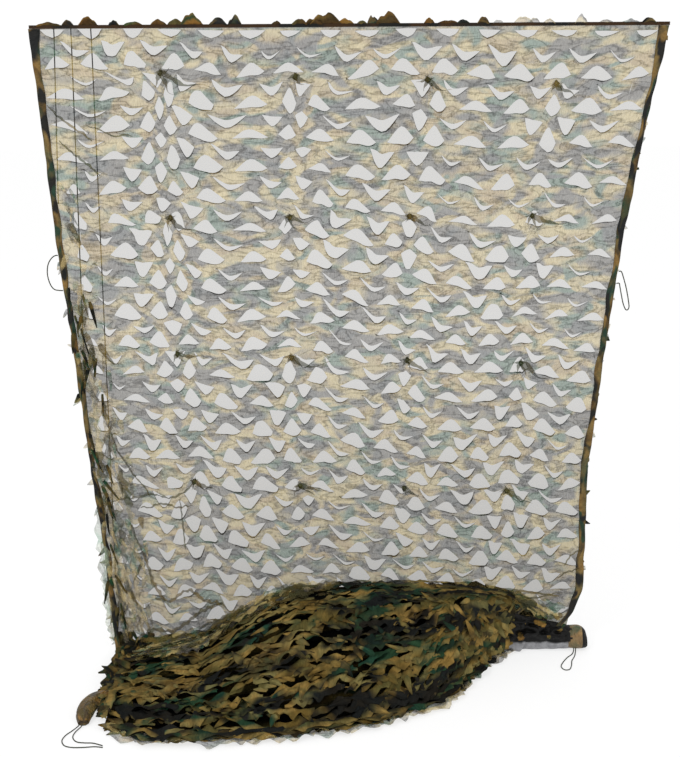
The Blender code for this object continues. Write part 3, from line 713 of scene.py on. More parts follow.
# Outlines of the cuts, closed and wide open: shares of the pitch and of the row pitch, from the left tip to
# the right tip over the top, then below.
Cut = namedtuple("Cut", "upper lower")
DOME = Cut(((-0.42, -0.24), (-0.28, 0.02), (-0.15, 0.30), (-0.06, 0.42), (0.09, 0.40), (0.21, 0.20),
            (0.34, -0.06), (0.43, -0.22)),
           ((-0.42, -0.24), (-0.13, -0.32), (0.05, -0.38), (0.26, -0.36), (0.43, -0.22)))
WIDE_DOME = Cut(((-0.37, -0.18), (-0.21, 0.28), (-0.05, 0.58), (0.06, 0.54), (0.23, 0.24), (0.39, -0.10)),
                ((-0.37, -0.18), (-0.22, -0.36), (0.00, -0.46), (0.17, -0.54), (0.29, -0.38), (0.39, -0.10)))
TICK = Cut(((-0.38, 0.40), (-0.25, 0.14), (-0.11, -0.10), (0.02, -0.20), (0.16, -0.20), (0.38, -0.10)),
           ((-0.38, 0.40), (-0.29, 0.08), (-0.18, -0.18), (-0.04, -0.42), (0.09, -0.46), (0.22, -0.34),
            (0.38, -0.10)))
WIDE_TICK = Cut(((-0.38, 0.50), (-0.21, 0.38), (-0.06, 0.20), (0.10, 0.18), (0.24, 0.20), (0.39, 0.12)),
                ((-0.38, 0.50), (-0.31, 0.14), (-0.19, -0.30), (-0.05, -0.54), (0.07, -0.52), (0.23, -0.22),
                 (0.39, 0.12)))
DIAMOND = Cut(((-0.27, 0.0), (-0.16, 0.50), (0.02, 1.00), (0.14, 0.48), (0.25, 0.04)),
              ((-0.27, 0.0), (-0.13, -0.56), (-0.03, -0.94), (0.15, -0.52), (0.25, 0.04)))
CUP = Cut(((-0.34, 0.26), (0.34, 0.26)),
          ((-0.34, 0.26), (-0.20, -0.12), (0.0, -0.32), (0.20, -0.12), (0.34, 0.26)))
# Steps along each half of a cut's outline, and along the cloth from one cut to the next.
HALF_STEPS = 10
STEPS_PER_PITCH = 8
# The row pitch of the cuts as a share of their pitch, about.
ROW_SHARE = 0.42


def resample(line, count):
    """Points at even distances along a line of corners."""
    corners = [Vector((x, y * ROW_SHARE)) for x, y in line]
    lengths = [(b - a).length for a, b in zip(corners, corners[1:])]
    total = sum(lengths)
    points = []
    for index in range(count + 1):
        target = total * index / count
        for a, b, length in zip(corners, corners[1:], lengths):
            if target <= length or b is corners[-1]:
                share = clamp(target / length)
                points.append((mix(a.x, b.x, share), mix(a.y, b.y, share) / ROW_SHARE))
                break
            target -= length
    return points


def outline(cut):
    """The cut's outline: the upper edge left to right, then the lower edge back."""
    upper = resample(cut.upper, HALF_STEPS)
    lower = resample(cut.lower, HALF_STEPS)
    return upper[:-1] + lower[:0:-1]


OUTLINES = {"dome": (outline(DOME), outline(WIDE_DOME)), "tick": (outline(TICK), outline(WIDE_TICK)),
            "cup": (outline(CUP), outline(CUP))}
NARROW_OUTLINE = outline(DIAMOND)
COLUMNS = 16
MARGIN = 0.006
CUT_PITCH = (NET_WIDTH - 2 * MARGIN) / COLUMNS
CUT_ROW_PITCH = 0.0379
FIRST_ROW_DROP = 0.019
CUT_ROWS = 42
# How deep the line between two rows of cuts waves: below a row of domes, below a row of ticks, under a gather.
DOME_WAVE, TICK_WAVE, DRAWN_WAVE = -0.0010, 0.0070, 0.0165
# Cloth that is left between a cut and the lines above and below it.
CUT_EDGE = 0.0012
# The crumpled strip beside the left tape: its width, how soon it starts, and where it begins.
STRIP_WIDTH, STRIP_FADE, STRIP_TOP_DROP = 0.135, 0.05, 0.30


def openness(across, drop):
    """How far the cuts stand open, from 0 for slits to 1 for wide holes."""
    field = noise.noise(Vector((across * 3.4, drop * 3.9, 1.5)))
    flat = 0.42 * ease((across - 0.86) / 0.25) * ease((0.56 - drop) / 0.20)
    return clamp(0.54 + 0.90 * field + 0.60 * noise.noise(Vector((across * 9, drop * 9, 4.0))) - flat)


def row_shift(across, drop):
    """How far the rows of cuts run below level there: they fall to the right and sag between the ties."""
    fall = 0.034 * (across - 0.5) * min(drop / 0.30, 1.0)
    fall += 0.050 * ease((across - 0.66) / 0.42) * ease((drop - 0.20) / 0.25) * (1 - 0.5 * ease((drop - 1.0) / 0.3))
    sag = -0.0045 * math.cos(2 * math.pi * (across - FIRST_GATHER_ACROSS) / GATHER_PITCH)
    wander = 0.026 * noise.noise(Vector((across * 3.0, drop * 2.4, 8.5)))
    return fall + (sag + wander) * min(drop / 0.08, 1.0)


def boundary_drop(boundary, across_steps):
    """The drop of a line between two rows of cuts, waved round the cuts on both sides."""
    row_above = boundary - 1
    offset = 0.5 if row_above % 2 else 0.0
    x = across_steps / STEPS_PER_PITCH
    phase = math.cos(2 * math.pi * (x - 0.5 - offset))
    base = FIRST_ROW_DROP + CUT_ROW_PITCH * (boundary - 0.5)
    across = MARGIN + CUT_PITCH * x
    wave = mix(DOME_WAVE if row_above % 2 == 0 else TICK_WAVE, DRAWN_WAVE, gather_pinch(across, base))
    edge = clamp(min(across, NET_WIDTH - across) / 0.05)
    return max(base + wave * phase * edge * clamp(boundary) + row_shift(across, base) * clamp(boundary), 0.002)


def crest_drop(x):
    """The drop at which the hung cloth goes behind the heap or meets the rolled hem."""
    crest = read_row(HEAP_ROWS, "x", x, "crest")
    return -FLOOR_Z - (crest if x < HEAP_RIGHT else 0.060)


def cloth_end(x):
    """The drop down to which the hung cloth is made, inside the heap."""
    return min(crest_drop(x) + 0.05, -FLOOR_Z + 0.012)


class Lattice:
    """Collects the shared points and the faces of a sheet with rows of cuts."""

    def __init__(self, place):
        self.place = place
        self.points, self.uvs, self.faces, self.lips = [], [], [], []
        self.shared = {}

    def add(self, across, drop, lift=0.0):
        self.points.append(self.place(across, drop, lift))
        self.uvs.append((across, drop))
        return len(self.points) - 1

    def boundary(self, boundary, steps):
        key = ("line", boundary, steps)
        if key not in self.shared:
            across = MARGIN + CUT_PITCH * steps / STEPS_PER_PITCH
            self.shared[key] = self.add(across, boundary_drop(boundary, steps))
        return self.shared[key]

    def side(self, row, steps):
        key = ("side", row, steps)
        if key not in self.shared:
            across = MARGIN + CUT_PITCH * steps / STEPS_PER_PITCH
            drop = (boundary_drop(row, steps) + boundary_drop(row + 1, steps)) / 2
            self.shared[key] = self.add(across, drop)
        return self.shared[key]

    def ring(self, row, first):
        """The points round one cell, from the middle of its left side over its top."""
        last = first + STEPS_PER_PITCH
        top = [self.boundary(row, step) for step in range(first, last + 1)]
        bottom = [self.boundary(row + 1, step) for step in range(last, first - 1, -1)]
        return [self.side(row, first)] + top + [self.side(row, last)] + bottom

    def join(self, outer, inner):
        count = len(outer)
        for k in range(count):
            after = (k + 1) % count
            self.faces.append((outer[k], outer[after], inner[after], inner[k]))


def add_cut_cell(lattice, row, first, rng):
    """One cell: its cut, the cloth round it and the curled lip along the cut's lower edge."""
    ring = lattice.ring(row, first)
    centre_steps = first + STEPS_PER_PITCH // 2
    across = MARGIN + CUT_PITCH * centre_steps / STEPS_PER_PITCH
    top = boundary_drop(row, centre_steps)
    bottom = boundary_drop(row + 1, centre_steps)
    side_middle = (lattice.uvs[ring[0]][1] + lattice.uvs[ring[HALF_STEPS]][1]) / 2
    pinch = gather_pinch(across, (top + bottom) / 2)
    closed, wide_open = OUTLINES["cup" if row == 0 else ("tick" if row % 2 else "dome")]
    opened = clamp(openness(across, top) + rng.uniform(-0.38, 0.38))
    strip = clamp((STRIP_WIDTH - across) / STRIP_FADE) if top > STRIP_TOP_DROP else 0.0
    wide = CUT_PITCH * rng.uniform(0.76, 1.02) * (1 - 0.50 * strip)
    tall = CUT_ROW_PITCH * mix(0.66, 1.16, opened) * rng.uniform(0.82, 1.12) * (1 - 0.08 * pinch)
    tilt = rng.gauss(-0.01, 0.13) if row else 0.0
    shift = rng.uniform(-0.04, 0.04) * CUT_PITCH
    skew = rng.uniform(-0.16, 0.16)
    slope = (lattice.uvs[ring[HALF_STEPS]][1] - lattice.uvs[ring[0]][1]) / CUT_PITCH
    cut_points = []
    for (ax, ay), (bx, by), (dx, dy) in zip(closed, wide_open, NARROW_OUTLINE):
        x = mix(mix(ax, bx, opened), dx, pinch)
        y = mix(mix(ay, by, opened), dy, pinch)
        x += skew * y * (1 - pinch)
        drop = mix((top + bottom) / 2, side_middle, abs(x) * 2) - y * tall + (slope + tilt) * x * wide
        cut_across = across + shift + x * wide
        steps = (cut_across - MARGIN) / CUT_PITCH * STEPS_PER_PITCH
        drop = clamp(drop, boundary_drop(row, steps) + CUT_EDGE, boundary_drop(row + 1, steps) - CUT_EDGE)
        cut_points.append((cut_across, max(drop, HEAD_TAPE_HEIGHT + 0.0005)))
    middle_ring, cut_ring, lip_ring = [], [], []
    curl = rng.uniform(0.6, 1.0) if rng.random() < 0.6 else rng.uniform(0.15, 0.4)
    for k, (cut_across, cut_drop) in enumerate(cut_points):
        ring_across, ring_drop = lattice.uvs[ring[k]]
        middle_ring.append(lattice.add(mix(ring_across, cut_across, 0.6), mix(ring_drop, cut_drop, 0.6)))
        low = math.sin(math.pi * clamp((k - HALF_STEPS) / HALF_STEPS)) if k > HALF_STEPS else 0.0
        lift = 0.0040 * curl * low
        cut_ring.append(lattice.add(cut_across, cut_drop, lift))
        right = clamp(0.30 + 1.2 * (cut_across - across) / CUT_PITCH)
        width = 0.0005 + 0.0075 * curl * low * right * mix(0.6, 1.2, opened)
        away = Vector((cut_across - across - shift, cut_drop - (top + bottom) / 2 + 0.004)).normalized() * width
        lip_ring.append(lattice.add(cut_across + away.x, cut_drop + away.y, lift + 0.0003 + 0.0020 * low))
    lattice.join(ring, middle_ring)
    lattice.join(middle_ring, cut_ring)
    half = list(range(HALF_STEPS, 2 * HALF_STEPS + 1))
    for a, b in zip(half, half[1:]):
        a, b = a % len(cut_ring), b % len(cut_ring)
        lattice.lips.append(len(lattice.faces))
        lattice.faces.append((cut_ring[a], cut_ring[b], lip_ring[b], lip_ring[a]))


def hangs_free(across, drop):
    """Whether the hung cloth is made there, above its end inside the heap."""
    return drop + row_shift(across, drop) < cloth_end(hang_point(across, drop).x)


def make_hung_sheet():
    """The cut cloth: rows of cuts, domes and ticks in turn, with plain cloth at both ends of each odd row."""
    lattice = Lattice(hang_point)
    rng = random.Random(11)
    whole = COLUMNS * STEPS_PER_PITCH
    half = STEPS_PER_PITCH // 2
    for row in range(CUT_ROWS):
        middle = FIRST_ROW_DROP + CUT_ROW_PITCH * row
        for first in range(half if row % 2 else 0, whole - STEPS_PER_PITCH + 1, STEPS_PER_PITCH):
            if hangs_free(MARGIN + CUT_PITCH * (first / STEPS_PER_PITCH + 0.5), middle):
                add_cut_cell(lattice, row, first, rng)
        plain = [*range(0, half), *range(whole - half, whole)] if row % 2 else []
        for step in plain:
            if hangs_free(MARGIN + CUT_PITCH * step / STEPS_PER_PITCH, middle):
                corners = ((row, step), (row, step + 1), (row + 1, step + 1), (row + 1, step))
                lattice.faces.append(tuple(lattice.boundary(*corner) for corner in corners))
    item = make_mesh("hung_cloth", lattice.points, lattice.faces, lattice.uvs, SHEER, SHADED_LIP_CLOTH)
    # The lip faces take the second finish, whose dark colour is painted shade under the curl.
    lips = set(lattice.lips)
    choose_finishes(item, lambda number, _: number in lips)
    add_part(item, "net_cloth", "net_cloth")


CARRIER_COLUMNS, CARRIER_ROWS = 60, 64
CARRIER_TOP_DROP = 0.006


def make_carrier():
    """The fine mesh behind the cut cloth, which dims what shows through the cuts."""
    points, uvs = [], []
    for row in range(CARRIER_ROWS):
        for column in range(CARRIER_COLUMNS):
            across = mix(0.003, NET_WIDTH - 0.003, column / (CARRIER_COLUMNS - 1))
            x = mix(SHEET_LEFT, SHEET_RIGHT, across / NET_WIDTH)
            bottom = min(cloth_end(x * 0.85), -FLOOR_Z - 0.003)
            drop = mix(CARRIER_TOP_DROP, bottom, row / (CARRIER_ROWS - 1))
            left, right = sheet_edge("left", drop), sheet_edge("right", drop)
            depth = 0.6 * sway(across, drop) + wave_depth(drop) * 0.45 + 0.0035
            points.append(Vector((mix(left, right, across / NET_WIDTH), depth, -drop)))
            uvs.append((across, drop))
    item = make_mesh("carrier_mesh", points, grid_faces(CARRIER_ROWS, CARRIER_COLUMNS), uvs, CARRIER)
    add_part(item, "net_cloth")


# ---------------------------------------------------------------- the heap
# How far a fold reaches behind the brow, over the heap's top.
TOP_FOLD = 0.10
# The print's size on the heap: across it, and down its folds.
PRINT_ACROSS, PRINT_DOWN = 1.15, 0.52


def heap_place(share, fold):
    """A place on the heap's outer shape: share runs left to right, fold from behind the brow to the front."""
    x = mix(HEAP_LEFT, HEAP_RIGHT, share)
    brow = read_row(HEAP_ROWS, "x", x, "brow")
    front = read_row(HEAP_ROWS, "x", x, "front")
    crest = read_row(HEAP_ROWS, "x", x, "crest")
    if fold < 0:
        return Vector((x, mix(brow, max(brow, 0.0) + 0.004, min(-fold / TOP_FOLD, 1.0)), FLOOR_Z + crest))
    y = mix(brow, front, clamp(fold) ** 0.85)
    z = FLOOR_Z + crest * min(1.0, 1.16 * (1 - clamp(fold)) ** 0.9 + 0.02)
    return Vector((x, y, z))


class Cloth:
    """Collects bands and leaves of one cloth piece."""

    def __init__(self, *materials):
        self.points, self.uvs, self.faces = [], [], []
        self.materials = materials

    def add_grid(self, rows):
        """Adds rows of (point, uv) pairs, all of one length."""
        start = len(self.points)
        for row in rows:
            for point, uv in row:
                self.points.append(point)
                self.uvs.append(uv)
        self.faces += grid_faces(len(rows), len(rows[0]), start)

    def finish(self, name, held, width, *nodes):
        item = make_mesh(name, self.points, self.faces, self.uvs, *self.materials)
        add_part(item, "net_cloth", *nodes)
        return item


BAND_SECTION = (-1.0, -0.55, -0.1, 0.35, 0.72, 1.0)


def triangle_wave(value):
    return 1 - 4 * abs(value - math.floor(value + 0.5))


def heap_ceiling(x, z):
    """Holds the leafy cloth down to a little above the heap's crest, as uneven as bunched cloth."""
    limit = FLOOR_Z + read_row(HEAP_ROWS, "x", x, "crest") + 0.005
    limit += 0.007 * noise.noise(Vector((x * 30, 0.5, 2.5))) + 0.005 * noise.noise(Vector((x * 75, 0.5, 6.5)))
    over = z - (limit - 0.016)
    return limit - 0.016 * math.exp(-over / 0.016) if over > 0 else z


def add_band(cloth, frames, width, seed, lean, flutter, on_floor=True, print_at=None, pace=0.052):
    """A band of cloth between two rows of cuts: scalloped on both edges, folded over and over."""
    rows = []
    walked = 0.0
    pace *= 1 + 0.42 * noise.noise(Vector((seed * 1.7, 0.5, 0.5)))
    for k, (place, down, out) in enumerate(frames):
        walked += (place - frames[k - 1][0]).length if k else 0.0
        wander = noise.noise(Vector((walked * 9, seed * 1.3, 2.0)))
        quick = noise.noise(Vector((walked * 31, seed * 1.9, 5.0)))
        swell = 1 + 0.50 * noise.noise(Vector((walked * 7, seed * 2.1, 6.0)))
        folds = triangle_wave(walked / pace + 0.9 * wander + seed * 0.7)
        angle = lean + flutter * (0.55 * folds + 0.80 * wander + 0.40 * quick)
        cross = down * math.cos(angle) + out * math.sin(angle)
        normal = out * math.cos(angle) - down * math.sin(angle)
        cup = 0.35 * noise.noise(Vector((walked * 17, seed, 9.0))) + 0.18
        along = walked / (pace * 1.3) + 0.3 * wander + seed * 0.3
        ends = min(1.0, 0.35 + min(k, len(frames) - 1 - k) * 0.12) * swell
        tooth = abs(triangle_wave(along))
        upper = (0.50 + 0.50 * (1 - tooth)) * ends
        lower = (0.34 + 0.84 * tooth) * ends
        row = []
        for q, share in enumerate(BAND_SECTION):
            reach = share * (lower if share > 0 else upper) * width / 2
            crumple = 0.0030 * noise.noise(Vector((walked * 50, share * 2.2, seed)))
            lift = cup * (1 - share * share) * width * 0.40 + crumple
            point = place + cross * reach + normal * lift
            if on_floor:
                point.z = max(point.z, FLOOR_Z + 0.0008 + 0.0005 * q)
                if print_at:
                    point.z = heap_ceiling(point.x, point.z)
            u, v = print_at[k] if print_at else (walked + seed * 0.37, seed * 0.113)
            row.append((point, (u, v + reach * 0.9)))
        rows.append(row)
    cloth.add_grid(rows)


LEAF_ROWS, LEAF_COLUMNS = 6, 5
LEAF_FACES = (LEAF_ROWS - 1) * (LEAF_COLUMNS - 1)


def add_leaf(cloth, root, along, side, out, length, half, curl, uv, under=False):
    """One leaf of cloth between cuts: pointed, cupped and bent along its length."""
    rows = []
    for r in range(LEAF_ROWS):
        t = r / (LEAF_ROWS - 1)
        breadth = half * min(1.0, 0.45 + 2.6 * t) * (1 - t) ** 0.72 + 0.0010
        slide = half * 0.9 * t * t * math.sin(uv[0] * 40 + uv[1] * 23)
        row = []
        for c in range(LEAF_COLUMNS):
            q = 2 * c / (LEAF_COLUMNS - 1) - 1
            bend = curl * math.sin(t * 2.2) + 0.5 * (1 - q * q) * (0.4 + curl)
            crumple = 0.12 * noise.noise(Vector((uv[0] * 31 + t * 2.2, uv[1] * 17 + q * 1.4, 3)))
            rise = length * 0.26 * (bend + crumple)
            point = root + along * (length * t) + side * (breadth * q + slide) + out * rise
            point.z = max(point.z, FLOOR_Z + 0.0008 + 0.0003 * c)
            if under:
                point.z = heap_ceiling(point.x, point.z)
            row.append((point, (uv[0] + breadth * q, uv[1] + length * t)))
        rows.append(row)
    cloth.add_grid(rows)


def print_anywhere(rng):
    """Any place on the printed cloth, for a leaf whose neighbours don't show where it came from."""
    return rng.uniform(0, 4), rng.uniform(0, 4)


def heap_frame(share, fold):
    """Place, downhill direction and outward direction on the heap's outer shape."""
    here = heap_place(share, fold)
    down = heap_place(share, fold + 0.04) - heap_place(share, fold - 0.04)
    along = heap_place(share + 0.01, fold) - heap_place(share - 0.01, fold)
    down.x = 0
    if down.length < 1e-6:
        down = Vector((0, -0.4, -1))
    down.normalize()
    out = along.cross(down)
    if out.z < 0:
        out = -out
    if out.y > 0.2:
        out.y = 0
    if fold < 0:
        out = Vector((0, -0.35, 1))
        down = Vector((0, -1, -0.35)).normalized()
    return here, down, out.normalized()


HEAP_BANDS = 41
HEAP_FOLDS = (-0.03, 2.1)
# Where along the heap its folds start to run together, and by how much they do at its end.
FAN_START = 0.45
FAN_CLOSING = 0.66


def fanned_level(fold, share):
    """How far down the heap a fold lies there: the folds run together toward the heap's upper right."""
    fan = 1 - FAN_CLOSING * clamp((share - FAN_START) / (1 - FAN_START)) ** 1.1
    return max(fold, 0.0) * fan + min(fold, 0.0)


def add_heap_band(cloth, number, fold, begin, finish, tilt, width, seed):
    """One stretch of leafy cloth along a fold of the heap, turned a little out of the fold's line."""
    frames, print_at = [], []
    steps = max(int((finish - begin) * 210), 6)
    middle = (begin + finish) / 2
    for step in range(steps):
        share = mix(begin, finish, step / (steps - 1))
        level = fanned_level(fold, share) + tilt * (share - middle)
        if level > 0.97:
            continue
        level += (0.085 * noise.noise(Vector((share * 6, number * 0.45, 7.7)))
                  + 0.035 * noise.noise(Vector((share * 15, number * 0.9, 2.2)))) * clamp(level * 6)
        level = min(level, 0.985)
        place, down, out = heap_frame(clamp(share, 0.004, 0.996), level)
        place = place + out * (0.001 + 0.011 * abs(noise.noise(Vector((share * 14, number * 0.9, 1.1)))))
        place.x = mix(HEAP_LEFT, HEAP_RIGHT, share)
        frames.append((place, down, out))
        print_at.append((share * PRINT_ACROSS + 0.022 * math.sin(seed),
                         level * PRINT_DOWN + 0.016 * math.cos(seed * 2)))
    if len(frames) > 5:
        add_band(cloth, frames, width, seed, 0.40, 0.95, print_at=print_at, pace=0.066)


def make_heap_bands():
    """The leafy bands that the heaped cloth shows, from its crest to its front edge, fanning at the right."""
    rng = random.Random(31)
    cloth = Cloth(HEAP_CLOTH)
    for number in range(HEAP_BANDS):
        fold = mix(*HEAP_FOLDS, (number + rng.uniform(-0.25, 0.25)) / (HEAP_BANDS - 1))
        begin = rng.uniform(-0.018, 0.008)
        while begin < 0.96:
            finish = min(begin + rng.uniform(0.050, 0.14) * mix(1.25, 0.75, begin), rng.uniform(0.97, 1.0))
            seed = number + rng.uniform(0, 0.9) + 40 * begin
            tilt = rng.gauss(0, 0.60) - 0.9 * clamp((begin - 0.42) / 0.4)
            if fold < 0.05:
                tilt *= 0.2
            width = rng.uniform(0.030, 0.058) * mix(1.0, 0.90, begin) * (0.7 if fold < 0.06 else 1.0)
            add_heap_band(cloth, number, fold + rng.gauss(0, 0.012), begin, finish, tilt, width, seed)
            begin = finish - rng.uniform(0.0, 0.025)
    cloth.finish("heap_leaves", "folded", NET_WIDTH, "net_cloth")


HEAP_BACK_BANDS = 12


def heap_back_frames(number, begin, finish):
    """Frames and print places of one stretch of cloth on the far side of the heap."""
    down, out = Vector((0, 0.25, -1)).normalized(), Vector((0, 1, 0.25)).normalized()
    frames, print_at = [], []
    steps = max(int((finish - begin) * 170), 6)
    for step in range(steps):
        share = mix(begin, finish, step / (steps - 1))
        x = mix(HEAP_LEFT, HEAP_RIGHT, share)
        crest = read_row(HEAP_ROWS, "x", x, "crest")
        height = crest * (number + 0.3) / HEAP_BACK_BANDS
        height += 0.30 * crest * noise.noise(Vector((share * 8, number * 0.7, 1.9)))
        back = read_row(HEAP_ROWS, "x", x, "back") - 0.004
        y = mix(back, 0.010, clamp(height / crest) ** 3) + 0.006 * noise.noise(Vector((share * 17, number, 4.2)))
        frames.append((Vector((x, y, FLOOR_Z + clamp(height, 0.006, crest))), down, out))
        print_at.append((share * PRINT_ACROSS + 0.3, 1.3 - height * 1.1 + 0.012 * math.cos(number * 2.0)))
    return frames, print_at


def make_heap_back():
    """The leafy folds on the far side of the heap."""
    rng = random.Random(41)
    cloth = Cloth(HEAP_CLOTH)
    for number in range(HEAP_BACK_BANDS):
        begin = rng.uniform(-0.01, 0.01)
        while begin < 0.97:
            finish = min(begin + rng.uniform(0.07, 0.22), 1.0)
            frames, print_at = heap_back_frames(number, begin, finish)
            width, seed = rng.uniform(0.028, 0.050), 400 + number + 40 * begin
            add_band(cloth, frames, width, seed, 0.3, 0.75, print_at=print_at, pace=0.074)
            begin = finish - rng.uniform(0.0, 0.02)
    cloth.finish("heap_back_leaves", "folded", NET_WIDTH, "net_cloth")


STANDING_LEAVES = 240
FRONT_BANDS, FRONT_BAND_STEPS = 5, 150
# The last of the front bands are sheer, and so is this share of the leaves at the front and at the crest.
FIRST_SHEER_BAND = 3
FRONT_LEAVES, SHEER_FRONT_SHARE = 70, 0.45
CREST_LEAVES, SHEER_CREST_SHARE = 40, 0.65
END_LEAVES = 34


def add_standing_leaves(cloth, rng):
    """Single leaves that stand out of the heap."""
    for _ in range(STANDING_LEAVES):
        share, fold = rng.uniform(0.01, 0.97), rng.uniform(0.06, 0.93)
        place, down, out = heap_frame(share, fold)
        turn = rng.choice((-1.25, 1.25)) + rng.gauss(0.0, 0.45) - 0.35 * ease((share - 0.45) / 0.3)
        side = out.cross(down).normalized()
        along = (down * math.cos(turn) + side * math.sin(turn)).normalized()
        across = out.cross(along).normalized()
        uv = (share * PRINT_ACROSS + rng.uniform(-0.03, 0.03), fold * PRINT_DOWN + rng.uniform(-0.02, 0.02))
        add_leaf(cloth, place + out * rng.uniform(0.002, 0.008), along, across, out, rng.uniform(0.026, 0.058),
                 rng.uniform(0.006, 0.014), rng.uniform(0.0, 0.6), uv, under=True)


def heap_away(share, before):
    """The way over the floor that leads straight off the heap's front edge."""
    ahead = heap_place(min(share + 0.02, 1.0), 1.0) - heap_place(share - before, 1.0)
    return Vector((ahead.y, -ahead.x, 0)).normalized()


def add_front_bands(cloth, tips, rng):
    """Bands that lie along the heap's front edge on the floor."""
    for number in range(FRONT_BANDS):
        frames = []
        begin, finish = rng.uniform(0.0, 0.03), 0.80 + 0.03 * number
        for k in range(FRONT_BAND_STEPS):
            share = mix(begin, finish, k / (FRONT_BAND_STEPS - 1))
            away = heap_away(share, 0.01)
            reach = 0.004 + 0.014 * noise.noise(Vector((share * 9, number * 1.3, 0.5))) + 0.0035 * number
            place = heap_place(share, 1.0) + away * (reach * (1 - 0.7 * ease((share - 0.74) / 0.06)))
            place.z = FLOOR_Z + 0.018 - 0.003 * number
            frames.append((place, away, UP))
        target = tips if number >= FIRST_SHEER_BAND else cloth
        add_band(target, frames, 0.044, 300 + 2.3 * number, 0.15, 0.55, pace=0.085)


def add_front_leaves(cloth, tips, rng):
    """Leaves that reach over the floor from the heap's front edge."""
    for number in range(FRONT_LEAVES):
        share = clamp((number + rng.uniform(-0.4, 0.4)) / (FRONT_LEAVES - 1), 0.004, 0.93)
        away = heap_away(share, 0.0)
        along = Matrix.Rotation(rng.gauss(0, 0.7), 3, "Z") @ away
        across = Matrix.Rotation(math.pi / 2, 3, "Z") @ along
        target = tips if rng.random() < SHEER_FRONT_SHARE else cloth
        far = 1 - 0.8 * ease((share - 0.76) / 0.08)
        wave = 0.010 * noise.noise(Vector((share * 13, 2.5, 0.5)))
        place = heap_place(share, 0.955) - away * mix(0.010, -0.004 - wave, far)
        place.z = FLOOR_Z + rng.uniform(0.004, 0.016)
        add_leaf(target, place, along, across, UP, rng.uniform(0.020, 0.030) + 0.012 * far,
                 rng.uniform(0.011, 0.021), rng.uniform(-0.15, 0.35), print_anywhere(rng))


def add_crest_leaves(cloth, tips, rng):
    """Leaves that stand up along the heap's crest."""
    for _ in range(CREST_LEAVES):
        place = heap_place(rng.uniform(0.10, 0.97), 0.0) - Vector((0, 0, 0.020))
        along = Vector((rng.gauss(0, 0.9), -0.55, 0.7)).normalized()
        across = (Vector((1, 0, 0)) - along * along.x).normalized()
        target = tips if rng.random() < SHEER_CREST_SHARE else cloth
        add_leaf(target, place, along, across, TO_VIEWER, rng.uniform(0.014, 0.026), rng.uniform(0.012, 0.022),
                 rng.uniform(-0.1, 0.3), print_anywhere(rng))


def add_end_leaves(cloth, rng):
    """Leaves that stick out of the heap's left end."""
    for number in range(END_LEAVES):
        fold = number / (END_LEAVES - 1)
        place = heap_place(0.0, fold)
        place.x += rng.uniform(0.006, 0.030)
        place.z = FLOOR_Z + rng.uniform(0.004, 0.032) * (1.2 - fold)
        along = Vector((-1, rng.gauss(0, 0.5), rng.uniform(-0.1, 0.5))).normalized()
        across = UP.cross(along).normalized()
        add_leaf(cloth, place, along, across, UP, rng.uniform(0.020, 0.048), rng.uniform(0.012, 0.026),
                 rng.uniform(-0.1, 0.5), print_anywhere(rng))


def make_heap_leaves():
    """Single leaves that stand out of the heap, and those round its outline."""
    rng = random.Random(77)
    cloth, tips = Cloth(HEAP_CLOTH), Cloth(SHEER)
    add_standing_leaves(cloth, rng)
    add_front_bands(cloth, tips, rng)
    add_front_leaves(cloth, tips, rng)
    add_crest_leaves(cloth, tips, rng)
    add_end_leaves(cloth, rng)
    cloth.finish("heap_loose_leaves", "folded", 0.5, "net_cloth")
    tips.finish("heap_sheer_tips", "folded", 0.5, "net_cloth")


FALL_BANDS, FALL_BAND_STEPS = 4, 60
FALL_LEAVES, FIRST_UPPER_FALL_LEAF = 64, 46


def make_left_fall():
    """The net's lower left edge, which runs down behind its tape and forward over the floor to the heap."""
    cloth = Cloth(HEAP_CLOTH, STRAND_CLOTH)
    rng = random.Random(3)
    for number in range(FALL_BANDS):
        frames = []
        for k in range(FALL_BAND_STEPS):
            share = k / (FALL_BAND_STEPS - 1)
            forward = clamp((share - 0.30) / 0.70)
            x = mix(-0.624, -0.594, number / 3) + 0.006 * math.sin(9 * share + number)
            y = mix(-0.004, -0.33 - 0.02 * number, forward)
            z = mix(-1.57, FLOOR_Z + 0.012 + 0.006 * number, min(share / 0.32, 1.0))
            frames.append((Vector((x, y, z)), TO_LEFT, TO_VIEWER.lerp(UP, forward).normalized()))
        add_band(cloth, frames, rng.uniform(0.030, 0.040), 80 + 2.7 * number, 0.1, 0.8, pace=0.110)
    for number in range(FALL_LEAVES):
        place = Vector((rng.uniform(-0.618, -0.584), mix(-0.02, -0.36, rng.random()),
                        FLOOR_Z + rng.uniform(0.004, 0.030)))
        if number >= FIRST_UPPER_FALL_LEAF:
            place = Vector((rng.uniform(-0.585, -0.500), rng.uniform(-0.035, -0.012),
                            FLOOR_Z + rng.uniform(0.030, 0.048)))
        along = Vector((rng.gauss(-0.5, 0.5), rng.gauss(-0.4, 0.6), rng.uniform(-0.1, 0.2))).normalized()
        across = Vector((0, -0.5, 1)).cross(along).normalized()
        add_leaf(cloth, place, along, across, Vector((0, -0.3, 1)), rng.uniform(0.022, 0.044),
                 rng.uniform(0.008, 0.018), rng.uniform(-0.1, 0.5), print_anywhere(rng))
    item = cloth.finish("left_fall", "gathered", 0.3, "net_cloth")
    choose_finishes(item, lambda _, centre: noise.noise(centre * 26) > -0.08)


def walk_route(route, per_span):
    """Even steps along a route of pairs: the span that each step is on, and its place."""
    for k in range((len(route) - 1) * per_span + 1):
        span, step = divmod(k, per_span)
        start, end = route[span], route[min(span + 1, len(route) - 1)]
        share = step / per_span
        yield span, mix(start[0], end[0], share), mix(start[1], end[1], share)


CREST_BANDS, CREST_BAND_STEPS = 7, 64
END_BANDS, END_BAND_STEPS = 12, 56
